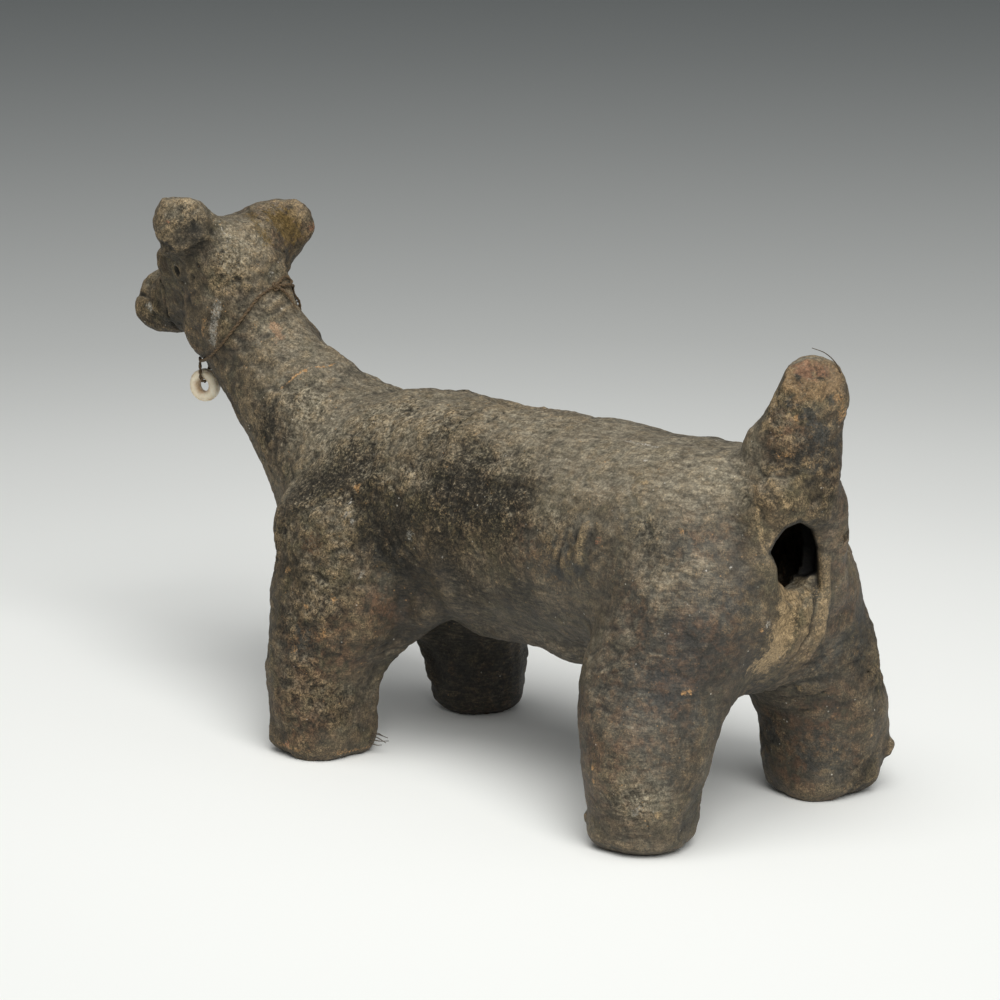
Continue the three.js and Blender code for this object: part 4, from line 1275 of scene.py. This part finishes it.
def add_cords(material, curve):
    drop = np.array(drop_route())
    left = laid([*CORD_LEFT, drop[0]], curve, "end")
    right = laid([drop[-1], *CORD_RIGHT], curve, "start")
    centre, bow, loose = knot_parts(curve)
    left[0] = centre
    right[-1] = centre
    knot = twisted(bow, CORD_RADIUS, seed=4) + twisted(loose, CORD_RADIUS, seed=6)
    trefoil = knot_route(KNOT_RADIUS) - KNOT_CENTRE + centre
    knot.append((smooth_line(trefoil, CORD_STEP), KNOT_CORD_RADIUS))
    tip = loose[-1]
    onward = unit(tip - loose[-2])
    for k in range(FRAYED_ENDS):
        spread = np.array([math.cos(2.1 * k), math.sin(2.9 * k), math.cos(1.3 * k + 1)])
        end = tip + onward * (1.4 + 0.3 * k) + spread * 0.7
        knot.append((smooth_line([tip - onward * 0.6, tip, end], CORD_STEP), FRAY_RADIUS))
    made = {
        "cord_left": (twisted(left, CORD_RADIUS, seed=1), "figure"),
        "cord_right": (twisted(right, CORD_RADIUS, seed=2), "figure"),
        "cord_drop": (twisted(drop + collar_origin(), CORD_RADIUS, seed=3), "drop"),
        "cord_knot": (knot, "figure"),
    }
    for node, (strands, body) in made.items():
        piece = strands_piece(f"twine_{node}", strands)
        piece.data.materials.append(material)
        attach(piece, body)
        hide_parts(node)


def squared_off(wave):
    return np.sign(wave) * np.abs(wave) ** BEAD_FLATNESS


def add_bead(material):
    """A worn ring, flattened on both faces, stained where the cord rubs."""
    around = 96
    section = 40
    rim = (BEAD_DIAMETER - BEAD_HOLE) / 4
    middle = BEAD_HOLE / 2 + rim
    turn, bend = np.meshgrid(
        np.linspace(0, 2 * np.pi, around, endpoint=False),
        np.linspace(0, 2 * np.pi, section, endpoint=False), indexing="ij")
    out = middle + rim * squared_off(np.cos(bend))
    thick = BEAD_THICKNESS / 2 * squared_off(np.sin(bend))
    axis = bead_axis()
    side = np.array([axis[1], -axis[0], 0])
    local = np.stack([out * np.cos(turn), out * np.sin(turn), thick], -1).reshape(-1, 3)
    worn = 1 + 0.03 * noise(local, 4, 7) + 0.015 * noise(local, 1.4, 8)
    shaped = local * worn[:, None]
    points = collar_origin() + BEAD_CENTRE + shaped[:, :1] * side
    points = points + shaped[:, 1:2] * (0, 0, 1) + shaped[:, 2:] * axis
    faces = []
    for k in range(around):
        for s in range(section):
            a = k * section
            b = (k + 1) % around * section
            faces.append((a + s, b + s, b + (s + 1) % section, a + (s + 1) % section))
    mesh = bpy.data.meshes.new("shell_ring")
    mesh.from_pydata((points * MM).tolist(), [], faces)
    mesh.polygons.foreach_set("use_smooth", np.ones(len(mesh.polygons), bool))
    from_axis = np.hypot(local[:, 0], local[:, 1])
    hole = smoothstep(middle, BEAD_HOLE / 2, from_axis)
    edge = smoothstep(0.2, 0.7, layered(local, 4, 9, 2)) * smoothstep(middle, BEAD_DIAMETER / 2, from_axis)
    stain = mesh.attributes.new("stain", "FLOAT", "POINT")
    stain.data.foreach_set("value", np.clip(0.8 * hole + 0.5 * edge, 0, 1).astype(np.float32))
    piece = add_object("shell_ring", mesh)
    mesh.materials.append(material)
    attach(piece, "bead")
    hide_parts("shell_bead")


def add_fibres(skin, material):
    """Loose fibres that stick out of the clay."""
    right, up, forward = camera_axes()
    for number, (pixels, node) in enumerate(FIBRES):
        root = on_skin(skin, pixels[:1])[0]
        depth = (root - CAMERA_PLACE) @ forward
        route = [root]
        for x, y in pixels[1:]:
            across = (x - IMAGE_PIXELS / 2) / FOCAL_PIXELS * depth
            down = (y - IMAGE_PIXELS / 2) / FOCAL_PIXELS * depth
            route.append(CAMERA_PLACE + forward * depth + right * across - up * down)
        line = smooth_line(route, 0.6)
        radii = FIBRE_RADIUS * np.linspace(1, 0.5, len(line))
        piece = strands_piece(f"fibre_{number}", [(line, radii)], sides=6)
        piece.data.materials.append(material)
        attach(piece, "figure")
        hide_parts(node)


def fibre_material():
    g = Graph("fibre")
    colour = g.mix(g.grain(0.8, detail=3), FIBRE_DARK, FIBRE_PALE)
    return g.principled({"Base Color": colour, "Roughness": 0.8})


def add_clay(skin, clay, curve, lumps, nearest, second, owner):
    """The clay lumps as pieces, each standing for its own node."""
    closed = blurred((clay < 0).astype(np.float32), COVERED_BLUR)
    tones = {
        "soot_and_shade": SOOT_AND_SHADE_PATCHES, "shade": SHADE_PATCHES, "dust_and_top_light": DUST_PATCHES, "rust": RUST_PATCHES,
        "slate": SLATE_PATCHES, "crust": CRUST_PATCHES, "spots": SPOTS,
    }
    marks = {}
    for tone, spots in tones.items():
        places = on_skin(skin, [spot[:2] for spot in spots])
        marks[tone] = [(place, *spot[2:]) for place, spot in zip(places, spots)]
    marks["lines"] = [(places, *line[1:]) for places, line in zip(traced_lines(skin, LINES), LINES)]
    materials = {"clay": clay_material("clay", EARTH), "sandy_clay": clay_material("sandy_clay", SAND)}
    for node, (piece, points) in cut_apart(clay, lumps, nearest, second, owner).items():
        paint(piece, points, clay, curve, closed, marks)
        slot = "sandy_clay" if node == "rump_patch" else "clay"
        piece.data.materials.append(materials[slot])
        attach(piece, "figure")
        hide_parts(node)


def add_area_light(name, place, size, power):
    data = bpy.data.lights.new(name, "AREA")
    data.shape = "DISK"
    data.size = size
    data.energy = power
    light = add_object(name, data)
    light.location = place
    light.rotation_euler = (Vector(LAMP_TARGET) - Vector(place)).to_track_quat("-Z", "Y").to_euler()


def add_studio():
    """A pale floor with a painted pool of light that greys with distance, two softboxes and even ambient
    light.
    """
    mesh = bpy.data.meshes.new("floor")
    corners = [(FLOOR_REACH * x, FLOOR_REACH * y, 0) for x, y in ((-1, -1), (1, -1), (1, 1), (-1, 1))]
    mesh.from_pydata(corners, [], [(0, 1, 2, 3)])
    floor = add_object("floor", mesh)
    g = Graph("floor")
    # Painted light: the floor is palest round its middle and greys with distance, warm near and cool far
    away = g.node("VectorMath", {0: g.places, 1: FLOOR_LIGHT_MIDDLE}, operation="DISTANCE")
    distance = away.outputs["Value"]
    ramp = g.node("ValToRGB", {"Fac": g.maths("DIVIDE", distance, FLOOR_SPAN)})
    elements = ramp.color_ramp.elements
    while len(elements) < len(FLOOR_PAINTED_LIGHT):
        elements.new(0.5)
    for element, (place, tone) in zip(elements, FLOOR_PAINTED_LIGHT):
        element.position = place
        element.color = (tone, (1.005 + 0.06 * place) * tone, (0.965 + 0.08 * place) * tone, 1)
    mesh.materials.append(g.principled({"Base Color": ramp.outputs[0], "Roughness": 0.9}))
    world = bpy.data.worlds.new("studio")
    world.use_nodes = True
    nodes = world.node_tree.nodes
    background = nodes["Background"]
    background.inputs["Strength"].default_value = AMBIENT_STRENGTH
    backdrop = nodes.new("ShaderNodeMix")
    backdrop.data_type = "RGBA"
    backdrop.inputs[COLOUR_A].default_value = AMBIENT_COLOUR
    backdrop.inputs[COLOUR_B].default_value = HORIZON_COLOUR
    light_path = nodes.new("ShaderNodeLightPath")
    world.node_tree.links.new(light_path.outputs["Is Camera Ray"], backdrop.inputs[0])
    world.node_tree.links.new(backdrop.outputs[COLOUR_RESULT], background.inputs["Color"])
    bpy.context.scene.world = world
    for name, lamp in LAMPS.items():
        add_area_light(name, **lamp)
    bpy.context.scene.view_settings.view_transform = "Standard"


add_camera()
skin, *parts = melt_lumps()
skin = rework(skin)
clay = roughen(skin)
work_details(clay, skin)
curve = blurred(clay, CURVE_BLUR)
add_cords(twine_material(), curve)
add_bead(shell_material())
add_clay(skin, clay, curve, *parts)
add_fibres(skin, fibre_material())
add_studio()
